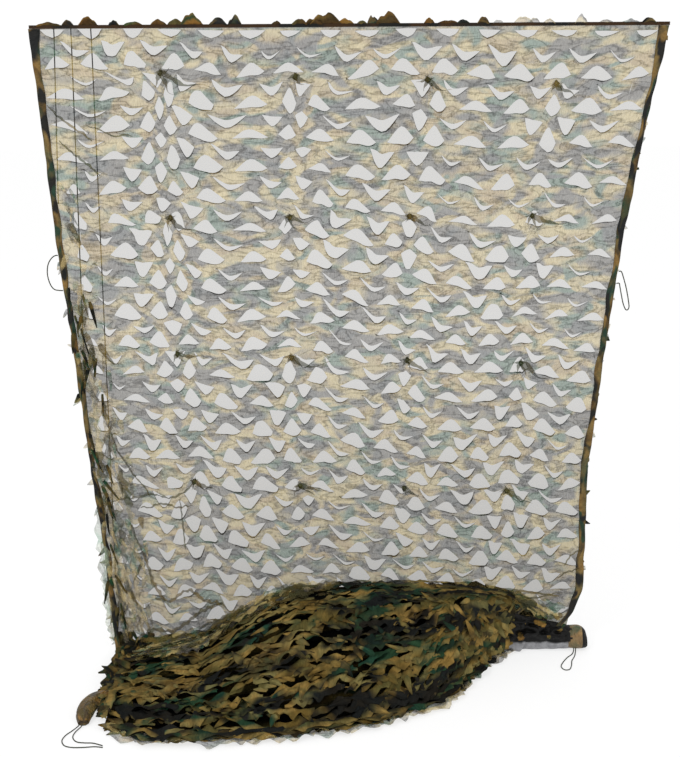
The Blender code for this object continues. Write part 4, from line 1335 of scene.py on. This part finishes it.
# Folds over the heap's right end: width, whether it's dense, then places as X and height over the floor.
RIGHT_END_FOLDS = (
    (0.008, True, (0.380, 0.182), (0.440, 0.176), (0.500, 0.166), (0.556, 0.158)),
    (0.034, False, (0.440, 0.150), (0.480, 0.138), (0.520, 0.122), (0.566, 0.100)),
    (0.030, False, (0.470, 0.126), (0.510, 0.110), (0.560, 0.092)),
    (0.026, True, (0.400, 0.168), (0.440, 0.148), (0.480, 0.118), (0.520, 0.096)),
    (0.030, False, (0.500, 0.146), (0.540, 0.130), (0.572, 0.128)),
    (0.006, True, (0.450, 0.142), (0.490, 0.120), (0.530, 0.104), (0.566, 0.094)),
)


def make_crest_drape():
    """The hung cloth's lowest folds, which lie bunched over the heap's crest at both ends."""
    cloth = Cloth(SHEER, GATHER_CLOTH)
    rng = random.Random(23)
    strips = []

    def add_strip(frames, width, is_dense):
        start = len(cloth.faces)
        add_band(cloth, frames, width, 210 + 3.1 * len(strips), 0.1, 0.9)
        strips.append((start, is_dense))

    down, out = Vector((0, -0.2, -1)).normalized(), Vector((0, -1, 0.2)).normalized()
    for number in range(CREST_BANDS):
        begin, finish = rng.uniform(0.02, 0.10), rng.uniform(0.36, 0.50)
        rise = mix(0.034, -0.012, number / (CREST_BANDS - 1))
        frames = []
        last = CREST_BAND_STEPS - 1
        for k in range(CREST_BAND_STEPS):
            share = mix(begin, finish, k / last)
            lift = rise * (1 - 0.55 * k / last) + 0.014 * noise.noise(Vector((share * 11, number * 1.7, 3.3)))
            frames.append((heap_place(share, 0.0) + Vector((0, -0.010 - 0.002 * number, lift)), down, out))
        add_strip(frames, rng.uniform(0.018, 0.034), number % 2)
    for number in range(END_BANDS):
        begin, finish = rng.uniform(0.0, 0.06), rng.uniform(0.18, 0.36)
        thin = number % 3 == 0
        frames = []
        last = END_BAND_STEPS - 1
        for k in range(END_BAND_STEPS):
            share = mix(begin, finish, k / last)
            level = (0.015 + 0.016 * number) * (1 - 0.6 * k / last)
            level += 0.030 * noise.noise(Vector((share * 9, number * 1.3, 5.3)))
            place, downhill, outward = heap_frame(share, max(level, 0.0))
            frames.append((place + outward * (0.018 if thin else 0.014), downhill, outward))
        add_strip(frames, 0.006 if thin else rng.uniform(0.022, 0.036), thin)
    for width, is_dense, *route in RIGHT_END_FOLDS:
        y = -0.008 - 0.004 * (width > 0.01)
        frames = [(Vector((x, y, FLOOR_Z + height)), down, out) for _, x, height in walk_route(route, 12)]
        add_strip(frames, width, is_dense)
    item = cloth.finish("crest_drape", "gathered", 0.3)

    def is_dark(number, centre):
        start, is_dense = next(strip for strip in reversed(strips) if strip[0] <= number)
        return is_dense or noise.noise(Vector((centre.x * 14, start * 0.01, centre.z * 20))) > 0.16

    choose_finishes(item, is_dark)


HEM_COLUMNS, HEM_ROWS = 90, 24
# Where the rolled hem's paler cap begins.
CAP_START_X = 0.588


def make_hem_fold():
    """The black hem cloth that comes out of the heap's right end and wraps the rolled hem."""
    cloth = Cloth(ROLL_CLOTH, FLAP_CLOTH)
    grid = []
    for r in range(HEM_ROWS):
        v = r / (HEM_ROWS - 1)
        row = []
        right = CAP_START_X - 0.012 * v + 0.016 * noise.noise(Vector((v * 5, 0.5, 3.5)))
        for c in range(HEM_COLUMNS):
            u = c / (HEM_COLUMNS - 1)
            x = mix(0.392, right, u)
            top = mix(0.126, 0.074, u ** 0.8) - 0.010 * ease((u - 0.9) / 0.1)
            low = mix(0.003, 0.036, ease((x - 0.452) / 0.020)) - 0.008 * noise.noise(Vector((x * 40, 0.5, 0.5)))
            y = mix(-0.010, ROLL_Y - ROLL_RADIUS - 0.004, v ** 0.6)
            z = FLOOR_Z + mix(top, max(low, 0.002), v ** 1.2)
            slant = noise.noise(Vector((x * 26 + v * 3.0, v * 5.0 - x * 14, 4.4)))
            fine = noise.noise(Vector((x * 70 + v * 6.0, v * 9.0 - x * 30, 1.4)))
            crumple = (0.030 * (0.45 - abs(slant)) + 0.008 * fine) * math.sin(math.pi * clamp(v * 0.95 + 0.05))
            crumple *= min(1.0, 8 * (1 - u))
            point = Vector((x, y - crumple, z + 0.6 * crumple))
            row.append((point, (x, v * 0.10)))
        grid.append(row)
    cloth.add_grid(grid)
    item = cloth.finish("hem_fold", "folded", 0.2, "net_cloth")

    def is_tan(_, centre):
        x, z = centre.x, centre.z - FLOOR_Z
        patch = noise.noise(Vector((x * 30, z * 60, 2.5))) + 4.0 * (x - 0.560) + 2.0 * (z - 0.075)
        return patch > 0.12 and z > 0.03

    choose_finishes(item, is_tan)


CORE_FOLDS = 6
CORE_COLUMNS = 72


def heap_section(x):
    """One cross-section of the heap's layers: back and forth from the crest to the floor."""
    brow = read_row(HEAP_ROWS, "x", x, "brow")
    front = read_row(HEAP_ROWS, "x", x, "front") + 0.012
    back = read_row(HEAP_ROWS, "x", x, "back")
    crest = 0.93 * read_row(HEAP_ROWS, "x", x, "crest") - 0.004
    lift = 0.0012
    layers = 2 * CORE_FOLDS - 1
    spacing = (crest - 2 * lift) / (layers - 1)
    points = [Vector((x, 0.0, FLOOR_Z + crest + 0.004))]
    back_y = mix(brow, back, 0.4)
    for fold in range(CORE_FOLDS):
        front_y = mix(brow, front, ((fold + 1) / CORE_FOLDS) ** 0.85)
        front_y += 0.008 * math.sin(40 * x + 2.1 * fold) * clamp((0.40 - x) * 8)
        for layer, start_y, end_y in ((2 * fold, back_y, front_y), (2 * fold + 1, front_y, back)):
            if layer >= layers:
                break
            level = FLOOR_Z + lift + spacing * (layers - 1 - layer)
            for share in (0.15, 0.5, 0.85, 1.0):
                forward = share if layer % 2 == 0 else 1 - share
                droop = 0.7 * spacing * (1 - layer / (layers - 1)) * forward
                y = mix(start_y, end_y, share)
                points.append(Vector((x, y, level - droop - (0.5 * spacing if share == 1.0 else 0.0))))
                points[-1].z = max(points[-1].z, FLOOR_Z + lift)
        back_y = back
    return points


def make_heap_core():
    """The folded layers inside the heap, which its leafy bands cover; their darker colour is painted shade for the
    gaps between the bands.
    """
    sections = []
    for column in range(CORE_COLUMNS):
        sections.append(heap_section(mix(HEAP_LEFT - 0.022, HEAP_RIGHT - 0.004, column / (CORE_COLUMNS - 1))))
    points, uvs = [], []
    rows = len(sections[0])
    for row in range(rows):
        for column, section in enumerate(sections):
            points.append(section[row])
            uvs.append((NET_WIDTH * column / (CORE_COLUMNS - 1), 1.55 + 0.06 * row))
    item = make_mesh("heap_layers", points, grid_faces(rows, CORE_COLUMNS), uvs, SHADED_INSIDE_CLOTH)
    add_part(item, "net_cloth", "net_cloth")


def make_heap():
    make_heap_core()
    make_heap_bands()
    make_heap_back()
    make_heap_leaves()
    make_left_fall()
    make_crest_drape()
    make_hem_fold()


# ---------------------------------------------------------------- tapes
TAPE_STEPS = 150
TAPE_HUNG_DROP = 1.36
# Where each tape runs below its hung part; the left one turns forward over the floor.
LEFT_TAPE_FOOT = ((-0.636, -0.009, 0.180), (-0.629, -0.012, 0.100), (-0.626, -0.017, 0.034),
                  (-0.624, -0.026, 0.010), (-0.622, -0.044, 0.002), (-0.617, -0.120, 0.002),
                  (-0.612, -0.200, 0.002), (-0.610, -0.232, 0.002))
RIGHT_TAPE_FOOT = ((0.606, -0.008, -1.430), (0.601, -0.010, -1.466), (0.588, -0.014, -1.502),
                   (0.571, -0.018, -1.530), (0.552, -0.024, -1.552))


def tape_line(side):
    """The middle line of a side tape: down the sheet's edge, then free."""
    line = []
    for k in range(TAPE_STEPS):
        drop = mix(HEAD_TAPE_HEIGHT + 0.0003, TAPE_HUNG_DROP, k / (TAPE_STEPS - 1))
        x = sheet_edge(side, drop) - OUTWARD[side] * (TAPE_WIDTH / 2 - TAPE_OVERHANG)
        line.append(Vector((x, tape_edge(side, drop).y, -drop)))
    if side == "left":
        foot = [Vector((x, y, FLOOR_Z + height)) for x, y, height in LEFT_TAPE_FOOT]
    else:
        foot = [Vector(point) for point in RIGHT_TAPE_FOOT]
    return line + smooth_points([line[-1]] + foot, 8)[1:]


# The tape's section: share of its width, and height off its middle.
TAPE_SECTION = ((-0.5, 0.0006), (-0.47, -0.0010), (-0.2, -0.0017), (0.15, -0.0013), (0.47, -0.0010),
                (0.5, 0.0006), (0.1, 0.0009), (-0.3, 0.0009))


def make_side_tape(side):
    """A folded edge tape, a little rippled by its stitching, with its print running along it."""
    line = tape_line(side)
    points, uvs = [], []
    walked = 0.0
    seed = 3.0 if side == "left" else 8.0
    across = Vector((1, 0, 0))
    for k, middle in enumerate(line):
        walked += (middle - line[k - 1]).length if k else 0.0
        normal = ahead_at(line, k).normalized().cross(across).normalized()
        if normal.y < 0 or (abs(normal.y) < 0.3 and normal.z > 0):
            normal = -normal
        head = math.exp(-walked / 0.05)
        width = TAPE_WIDTH * (0.74 + 0.40 * head + 0.34 * noise.noise(Vector((seed, walked * 15, 2.5))))
        wobble = OUTWARD[side] * (TAPE_WIDTH - width) * 0.35
        wobble += 0.0028 * noise.noise(Vector((seed, walked * 24, 0.5)))
        ripple = 0.0013 * noise.noise(Vector((seed, walked * 55, 7.5)))
        for slide, rise in TAPE_SECTION:
            points.append(middle + across * (slide * width + wobble) + normal * (rise + ripple * (slide + 0.5)))
            uvs.append((walked + 0.4 * seed, slide * TAPE_WIDTH))
    item = make_mesh(f"edge_tape_{side}", points, tube_faces(len(line), len(TAPE_SECTION)), uvs, TAPE_CLOTH)
    add_part(item, "edge_tape", f"tape_{side}")


def lobed_tube(name, node, stations, sides, creases, seed, *materials):
    """A soft tube of folded cloth: its section has creases that run along it."""
    points, uvs = [], []
    path = [station[0] for station in stations]
    walked = 0.0
    for k, (middle, half_width, half_height) in enumerate(stations):
        walked += (middle - path[k - 1]).length if k else 0.0
        side = UP.cross(ahead_at(path, k)).normalized()
        for step in range(sides):
            angle = 2 * math.pi * step / sides
            fold = 1 + 0.09 * math.sin(creases * angle + 9 * walked + seed)
            fold += 0.06 * noise.noise(Vector((math.cos(angle) * 2, walked * 40, seed)))
            offset = side * half_width * math.cos(angle) + UP * half_height * math.sin(angle)
            point = middle + offset * min(fold, 1.08)
            point.z = max(point.z, FLOOR_Z + 0.0006)
            points.append(point)
            uvs.append((walked, angle / (2 * math.pi) * 0.10))
    item = make_mesh(name, points, tube_faces(len(stations), sides), uvs, *materials)
    add_part(item, "edge_tape", node)
    return item


# The folded hem end from the heap outward: X, Y, half width and half height.
HornRow = namedtuple("HornRow", "x y half_width half_height")
HORN_ROWS = (
    HornRow(-0.604, -0.2323, 0.012, 0.009), HornRow(-0.608, -0.248, 0.015, 0.013),
    HornRow(-0.620, -0.266, 0.019, 0.017), HornRow(-0.638, -0.286, 0.022, 0.018),
    HornRow(-0.651, -0.314, 0.0225, 0.017), HornRow(-0.655, -0.344, 0.0210, 0.014),
    HornRow(-0.652, -0.372, 0.0125, 0.007),
)
ROLL_STATIONS = 34
# The black tip of the rolled hem, beyond its cap.
ROLL_TIP = 0.018


def make_hem_end():
    """The folded end of the hem, which sticks out of the heap at the left."""
    path = smooth_points([(row.x, row.y, FLOOR_Z + row.half_height) for row in HORN_ROWS], 6)
    stations = []
    for k, middle in enumerate(path):
        place = k / (len(path) - 1) * (len(HORN_ROWS) - 1)
        low = min(int(place), len(HORN_ROWS) - 2)
        start, end, share = HORN_ROWS[low], HORN_ROWS[low + 1], place - low
        stations.append((middle, mix(start.half_width, end.half_width, share),
                         mix(start.half_height, end.half_height, share)))
    lobed_tube("hem_corner_left", "corner_left", stations, 28, 5, 1.0, HORN_CLOTH)


def make_hem_roll():
    """The rolled hem at the lower right, with its paler cap."""
    stations = []
    for k in range(ROLL_STATIONS):
        x = mix(ROLL_LOW[0], ROLL_HIGH[0], k / (ROLL_STATIONS - 1))
        end = clamp((ROLL_HIGH[0] - x) / 0.030)
        swell = ROLL_RADIUS * (0.42 + 0.58 * math.sqrt(1 - (1 - end) ** 2))
        swell *= mix(0.9, 1.0, clamp((x - ROLL_LOW[0]) / 0.05))
        tall = swell * 1.16
        stations.append((Vector((x, ROLL_Y, FLOOR_Z + max(tall, 0.6 * ROLL_RADIUS))), swell * 1.04, tall))
    roll = lobed_tube("hem_roll_right", "corner_right", stations, 32, 3, 2.0, ROLL_CLOTH, CAP_CLOTH)

    def is_cap(_, centre):
        edge = CAP_START_X + 0.010 * noise.noise(Vector((centre.z * 60, centre.y * 60, 1.0)))
        return edge < centre.x < ROLL_HIGH[0] - ROLL_TIP

    choose_finishes(roll, is_cap)


# ---------------------------------------------------------------- small cloth details
# The torn upper row of leaves: distance from the left end, half width, height, and how it looks.
Bump = namedtuple("Bump", "place half height tone")
BUMPS = (
    Bump(0.047, 0.028, 0.007, "brown"), Bump(0.092, 0.014, 0.011, "dark"), Bump(0.143, 0.023, 0.019, "brown"),
    Bump(0.197, 0.013, 0.010, "dark"), Bump(0.247, 0.022, 0.007, "brown"), Bump(0.304, 0.019, 0.012, "brown"),
    Bump(0.340, 0.019, 0.012, "brown"), Bump(0.388, 0.027, 0.025, "brown"), Bump(0.443, 0.021, 0.014, "dark"),
    Bump(0.481, 0.016, 0.020, "dark"), Bump(0.582, 0.011, 0.007, "brown"), Bump(0.635, 0.018, 0.011, "brown"),
    Bump(0.692, 0.036, 0.029, "brown"), Bump(0.668, 0.020, 0.014, "brown"), Bump(0.740, 0.020, 0.011, "brown"),
    Bump(0.782, 0.012, 0.006, "brown"), Bump(0.810, 0.014, 0.019, "dark"), Bump(0.848, 0.028, 0.025, "brown"),
    Bump(0.938, 0.013, 0.011, "brown"), Bump(0.980, 0.024, 0.007, "brown"), Bump(1.017, 0.015, 0.008, "dark"),
    Bump(1.062, 0.014, 0.013, "dark"), Bump(1.100, 0.012, 0.006, "sheer"), Bump(1.157, 0.023, 0.014, "sheer"),
    Bump(1.188, 0.012, 0.011, "sheer"), Bump(1.220, 0.013, 0.008, "sheer"), Bump(1.292, 0.014, 0.018, "sheer"),
    Bump(1.352, 0.016, 0.006, "sheer"), Bump(1.410, 0.020, 0.007, "sheer"), Bump(1.455, 0.016, 0.010, "dark"),
)


FLAP_ROWS, FLAP_COLUMNS = 5, 13
FLAP_TONES = {"brown": FLAP_CLOTH, "dark": TAPE_CLOTH, "sheer": SHEER}
TALLEST_FLAP = 0.0245


def make_top_flaps():
    """The torn upper row of leaves, which stands up in separate low bumps behind the head tape."""
    rng = random.Random(9)
    cloth = Cloth(*FLAP_TONES.values())
    for place, half, height, _ in BUMPS:
        middle = SHEET_LEFT + place
        lean = rng.uniform(-0.7, 0.7)
        height = min(height, TALLEST_FLAP)
        grid = []
        for r in range(FLAP_ROWS):
            rise = r / (FLAP_ROWS - 1)
            row = []
            for c in range(FLAP_COLUMNS):
                side = 2 * c / (FLAP_COLUMNS - 1) - 1
                ragged = 1 + 0.55 * noise.noise(Vector((middle * 40, side * 2.2, 1.5)))
                top = height * (1 - abs(side) ** 2.0) * min(ragged, 1.12)
                bulge = math.sin(rise * 1.9) * (0.6 + 0.4 * math.cos(side * 4 + middle * 30))
                point = Vector((middle + side * half + lean * height * 0.5 * rise, 0.0008 - 0.008 * bulge,
                                -0.005 + (top + 0.005) * rise))
                row.append((point, (middle * 2.1 + side * half, 0.7 * place + rise * height * 2)))
            grid.append(row)
        cloth.add_grid(grid)
    item = cloth.finish("top_flaps", "hung", NET_WIDTH)
    tones = list(FLAP_TONES)
    faces_per_flap = (FLAP_ROWS - 1) * (FLAP_COLUMNS - 1)
    choose_finishes(item, lambda number, _: tones.index(BUMPS[number // faces_per_flap].tone))


# Bands of the bunched left strip: distance from the sheet's edge, first and last drop, and width.
STRIP_BANDS = ((0.034, 0.62, 1.57, 0.024), (0.060, 0.90, 1.57, 0.022), (0.088, 1.10, 1.57, 0.024),
               (0.046, 1.20, 1.57, 0.028))
STRIP_LEAVES, STRIP_STRANDS = 84, 36
EDGE_BANDS, EDGE_BAND_STEPS = 2, 60
FRINGE_LEAVES = 60


def hanging_frame(turn, forward):
    """Length and width directions of a leaf that hangs, turned a little from the plumb line."""
    along = Vector((math.sin(turn), -forward, -math.cos(turn))).normalized()
    return along, along.cross(TO_VIEWER).normalized()


def make_left_edge_folds(rng):
    """Folded cloth bunched along the left edge, with leaves and dark strands that hang over it."""
    cloth = Cloth(STRIP_CLOTH, GATHER_CLOTH, STRAND_CLOTH)
    for number, (across, first, last, width) in enumerate(STRIP_BANDS):
        frames = []
        count = int((last - first) / 0.006)
        for k in range(count):
            drop = mix(first, last, k / (count - 1))
            wander = 0.012 * noise.noise(Vector((drop * 6, number, 0)))
            place = hang_point(across + wander, drop, 0.007 + 0.002 * number)
            frames.append((place, Vector((1, 0, 0)), TO_VIEWER))
        add_band(cloth, frames, width, 50 + number * 3.3, 0.1, 0.95)
    for _ in range(STRIP_LEAVES):
        drop = 1.56 - 1.20 * rng.random() ** 1.4
        reach = 0.030 + 0.085 * clamp((drop - 0.3) / 0.9)
        place = hang_point(0.008 + reach * rng.random(), drop, rng.uniform(0.003, 0.010))
        along, across = hanging_frame(rng.gauss(0.22, 0.30), 0.10)
        add_leaf(cloth, place, along, across, TO_VIEWER, rng.uniform(0.026, 0.064), rng.uniform(0.003, 0.010),
                 rng.uniform(-0.2, 0.5), print_anywhere(rng))
    first_strand = len(cloth.faces)
    for _ in range(STRIP_STRANDS):
        drop = 1.57 - 1.00 * rng.random() ** 1.2
        place = hang_point(0.010 + 0.050 * rng.random() ** 1.5, drop, rng.uniform(0.008, 0.013))
        along, across = hanging_frame(rng.gauss(0.16, 0.22), 0.08)
        add_leaf(cloth, place, along, across, TO_VIEWER, rng.uniform(0.030, 0.070), rng.uniform(0.002, 0.0065),
                 rng.uniform(-0.1, 0.4), print_anywhere(rng))
    item = cloth.finish("left_edge_folds", "gathered", 0.3)

    def finish_of(number, _):
        folded = noise.noise(Vector((number // LEAF_FACES * 0.37, 3.5, 0.3))) > 0.26
        return 2 if number >= first_strand else folded

    choose_finishes(item, finish_of)


def make_edge_leaves(rng):
    """Cloth that sticks out past the tapes: two bands at the lower left, and leaves along both edges."""
    cloth = Cloth(SHEER, HEAP_CLOTH, FRINGE_CLOTH)
    for number in range(EDGE_BANDS):
        frames = []
        for k in range(EDGE_BAND_STEPS):
            drop = mix(1.22 + 0.10 * number, 1.60, k / (EDGE_BAND_STEPS - 1))
            x = sheet_edge("left", drop) - 0.011 * ease(k / 20) + 0.006 * number
            x += 0.005 * noise.noise(Vector((drop * 22, number, 0.5)))
            frames.append((Vector((x, -0.001 - 0.003 * number, -drop)), TO_LEFT, TO_VIEWER))
        add_band(cloth, frames, 0.026, 70 + 5.3 * number, 0.1, 1.0, pace=0.075)
    first_leaf = len(cloth.faces)
    for _ in range(FRINGE_LEAVES):
        side = "left" if rng.random() < 0.50 else "right"
        drop = 1.60 - 1.15 * rng.random() ** 3.5 if side == "left" else rng.uniform(0.03, 1.45)
        x = sheet_edge(side, drop) - 0.004 * OUTWARD[side]
        y = tape_edge(side, drop).y + 0.004
        along = Vector((OUTWARD[side] * rng.uniform(0.3, 1.0), rng.uniform(-0.3, 0.3), rng.gauss(-0.9, 0.7)))
        along.normalize()
        across = along.cross(Vector((0, 1, 0))).normalized()
        length = rng.uniform(0.012, 0.034) if side == "left" else rng.uniform(0.006, 0.018)
        add_leaf(cloth, Vector((x, y, -drop)), along, across, TO_VIEWER, length, rng.uniform(0.004, 0.012),
                 rng.uniform(-0.3, 0.3), print_anywhere(rng))
    item = cloth.finish("edge_leaves", "hung", 0.3)

    def finish_of(number, _):
        dark = (number - first_leaf) // LEAF_FACES % 7 < 3
        return 2 if number < first_leaf else dark

    choose_finishes(item, finish_of)


def make_edge_cloth():
    rng = random.Random(12)
    make_left_edge_folds(rng)
    make_edge_leaves(rng)


SupportRow = namedtuple("SupportRow", "x_top x_bottom drop_bottom")
SUPPORT_ROWS = (SupportRow(-0.693, -0.712, 0.42), SupportRow(-0.653, -0.679, 0.95), SupportRow(-0.606, -0.630, 1.42))
SUPPORT_TOP_DROP = 0.006


def make_support_cords():
    """The straight cords of the carrier that show at the left."""
    for number, row in enumerate(SUPPORT_ROWS, start=1):
        route = []
        for share in (0.0, 0.04, 0.12, 0.3, 0.5, 0.7, 0.85, 1.0):
            drop = mix(SUPPORT_TOP_DROP, row.drop_bottom, share)
            y = 0.0026 + wave_depth(drop) + 0.002 * min(share / 0.04, 1.0)
            route.append((mix(row.x_top, row.x_bottom, share), y, -drop))
        item, _ = twisted_cord(f"carrier_cord_{number}", route, BLACK_THREAD)
        add_part(item, "dark_cord", f"support_cord_{number}")


TUFT_ROWS, TUFT_COLUMNS = 9, 12
TUFT_RADIUS = 0.0050


def make_tufts():
    """The knotted tuft of each tied gather."""
    for number, (across, drop) in enumerate(GATHERS, start=1):
        low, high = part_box(f"gather_knot_{number}")
        centre = (Vector(low) + Vector(high)) / 2
        points, uvs = [], []
        for r in range(TUFT_ROWS):
            polar = math.pi * r / (TUFT_ROWS - 1)
            for c in range(TUFT_COLUMNS):
                angle = 2 * math.pi * c / TUFT_COLUMNS
                radius = TUFT_RADIUS * (1 + 0.95 * noise.noise(Vector((c * 0.9, r * 0.8, number))))
                offset = Vector((math.sin(polar) * math.cos(angle), 0.55 * math.sin(polar) * math.sin(angle),
                                 1.25 * math.cos(polar))) * radius
                points.append(centre + offset)
                uvs.append((across + offset.x, drop + offset.z))
        faces = grid_faces(TUFT_ROWS, TUFT_COLUMNS, closed=True)
        item = make_mesh(f"gather_tuft_{number}", points, faces, uvs, GATHER_CLOTH)
        add_part(item, "gather_thread", f"gather_knot_{number}")


CREASE_STEPS = 14
# Gathers whose creases are longer than their row's.
STRONG_GATHERS = (0, 10)


def crease_spans(rng):
    """The folds that leave a knot: angle from straight down, and length. The first is the main one."""
    limits = ((0.75, 1.15, 0.070, 0.130), (0.15, 0.6, 0.03, 0.07), (-0.9, -0.4, 0.025, 0.045),
              (-1.9, -1.3, 0.015, 0.035), (1.4, 2.2, 0.012, 0.028), (2.4, 3.6, 0.010, 0.018))
    return [(rng.uniform(least, most), rng.uniform(short, long)) for least, most, short, long in limits]


def make_crease_folds():
    """Folded cloth round each knot: leaves of doubled cloth that run down and to the right of it."""
    rng = random.Random(17)
    cloth = Cloth(GATHER_CLOTH)
    for place, (across, drop) in enumerate(GATHERS):
        centre = hang_point(across, drop, 0.003)
        strong = (1.0 if rng.random() < 0.5 else 0.65) * (1.25 if place % GATHER_COLUMNS == 0 else 0.85)
        strong *= 1.25 if place in STRONG_GATHERS else 1.0
        for number, (angle, length) in enumerate(crease_spans(rng)):
            length *= strong
            half = rng.uniform(0.0040, 0.0062) if number == 0 else rng.uniform(0.0022, 0.0044)
            rows = []
            for k in range(CREASE_STEPS):
                t = k / (CREASE_STEPS - 1)
                bend = angle + 0.25 * t + 0.30 * noise.noise(Vector((across * 9, drop * 9 + t * 2, number)))
                reach = 0.001 + length * t
                place_across, place_drop = across + math.sin(bend) * reach, drop + math.cos(bend) * reach
                behind = hang_point(place_across, place_drop).y
                x, z = centre.x + math.sin(bend) * reach, centre.z - math.cos(bend) * reach
                ragged = 1 + 0.8 * noise.noise(Vector((t * 7, number, across * 20)))
                breadth = half * (0.45 + math.sin(math.pi * min(t * 1.2 + 0.2, 1.0))) * (1 - t) ** 0.5 * ragged
                row = []
                for q in (-1.0, -0.4, 0.3, 1.0):
                    lift = 0.0010 + 0.0040 * (1 - q * q) * (1 - t)
                    aside = q * breadth
                    point = Vector((x + aside * math.cos(bend), behind - lift, z + aside * math.sin(bend)))
                    row.append((point, (place_across + aside, place_drop)))
                rows.append(row)
            cloth.add_grid(rows)
    cloth.finish("gather_creases", "gathered", 0.30)


# Stray folds: width, then places as distance from the left edge and drop.
STRAY_ROUTES = (
    (0.013, (0.060, 1.590), (0.110, 1.572), (0.170, 1.566), (0.230, 1.545), (0.290, 1.515), (0.360, 1.480)),
    (0.010, (0.095, 1.615), (0.160, 1.600), (0.240, 1.580), (0.320, 1.548)),
    (0.011, (0.140, 1.470), (0.185, 1.480), (0.225, 1.450), (0.255, 1.445), (0.300, 1.478), (0.370, 1.500)),
    (0.010, (0.085, 1.250), (0.100, 1.310), (0.125, 1.365), (0.140, 1.430), (0.175, 1.478)),
    (0.008, (0.040, 1.190), (0.130, 1.182), (0.230, 1.176), (0.300, 1.150)),
    (0.006, (0.120, 1.215), (0.200, 1.198), (0.290, 1.205)),
    (0.007, (0.055, 0.950), (0.085, 1.050), (0.125, 1.120), (0.150, 1.180)),
    (0.008, (0.012, 0.180), (0.050, 0.225), (0.100, 0.270)),
    (0.007, (0.030, 0.260), (0.070, 0.300), (0.115, 0.350)),
    (0.005, (0.090, 0.230), (0.150, 0.256), (0.190, 0.258)),
    (0.005, (0.245, 1.190), (0.250, 1.260), (0.252, 1.330)),
    (0.007, (1.180, 1.435), (1.260, 1.462), (1.360, 1.478), (1.455, 1.470)),
    (0.006, (1.290, 1.520), (1.360, 1.500), (1.430, 1.520), (1.470, 1.545)),
    (0.005, (1.490, 1.335), (1.462, 1.356), (1.440, 1.390)),
    (0.005, (1.488, 1.385), (1.455, 1.402), (1.430, 1.430)),
)


def make_stray_folds():
    """Doubled folds that lie across the hung cloth: by the left tape, along the lowest ties and over the heap."""
    cloth = Cloth(GATHER_CLOTH)
    for number, (width, *route) in enumerate(STRAY_ROUTES):
        frames = []
        for span, across, drop in walk_route(route, 14):
            drop += 0.010 * noise.noise(Vector((across * 18, drop * 9, number * 3.1)))
            drop += 0.005 * noise.noise(Vector((across * 70, drop * 40, number * 1.3)))
            start, end = route[min(span, len(route) - 2):][:2]
            down = TO_VIEWER.cross(Vector((end[0] - start[0], 0, start[1] - end[1]))).normalized()
            frames.append((hang_point(across, drop, 0.006), down, TO_VIEWER))
        add_band(cloth, frames, width, 120 + number * 2.9, 0.1, 1.1, on_floor=False, pace=0.030)
    cloth.finish("stray_folds", "gathered", 0.30)


def dress_head_tape():
    """The head tape keeps its solid's own shape and takes its own cloth."""
    for slot in bpy.data.objects["head_tape"].material_slots:
        slot.material = HEAD_TAPE


def main():
    make_camera()
    make_ties()
    make_studio()
    make_hung_sheet()
    make_carrier()
    make_heap()
    make_side_tape("left")
    make_side_tape("right")
    make_hem_end()
    make_hem_roll()
    make_top_flaps()
    make_edge_cloth()
    make_support_cords()
    make_stray_folds()
    make_tufts()
    make_crease_folds()
    dress_head_tape()


main()
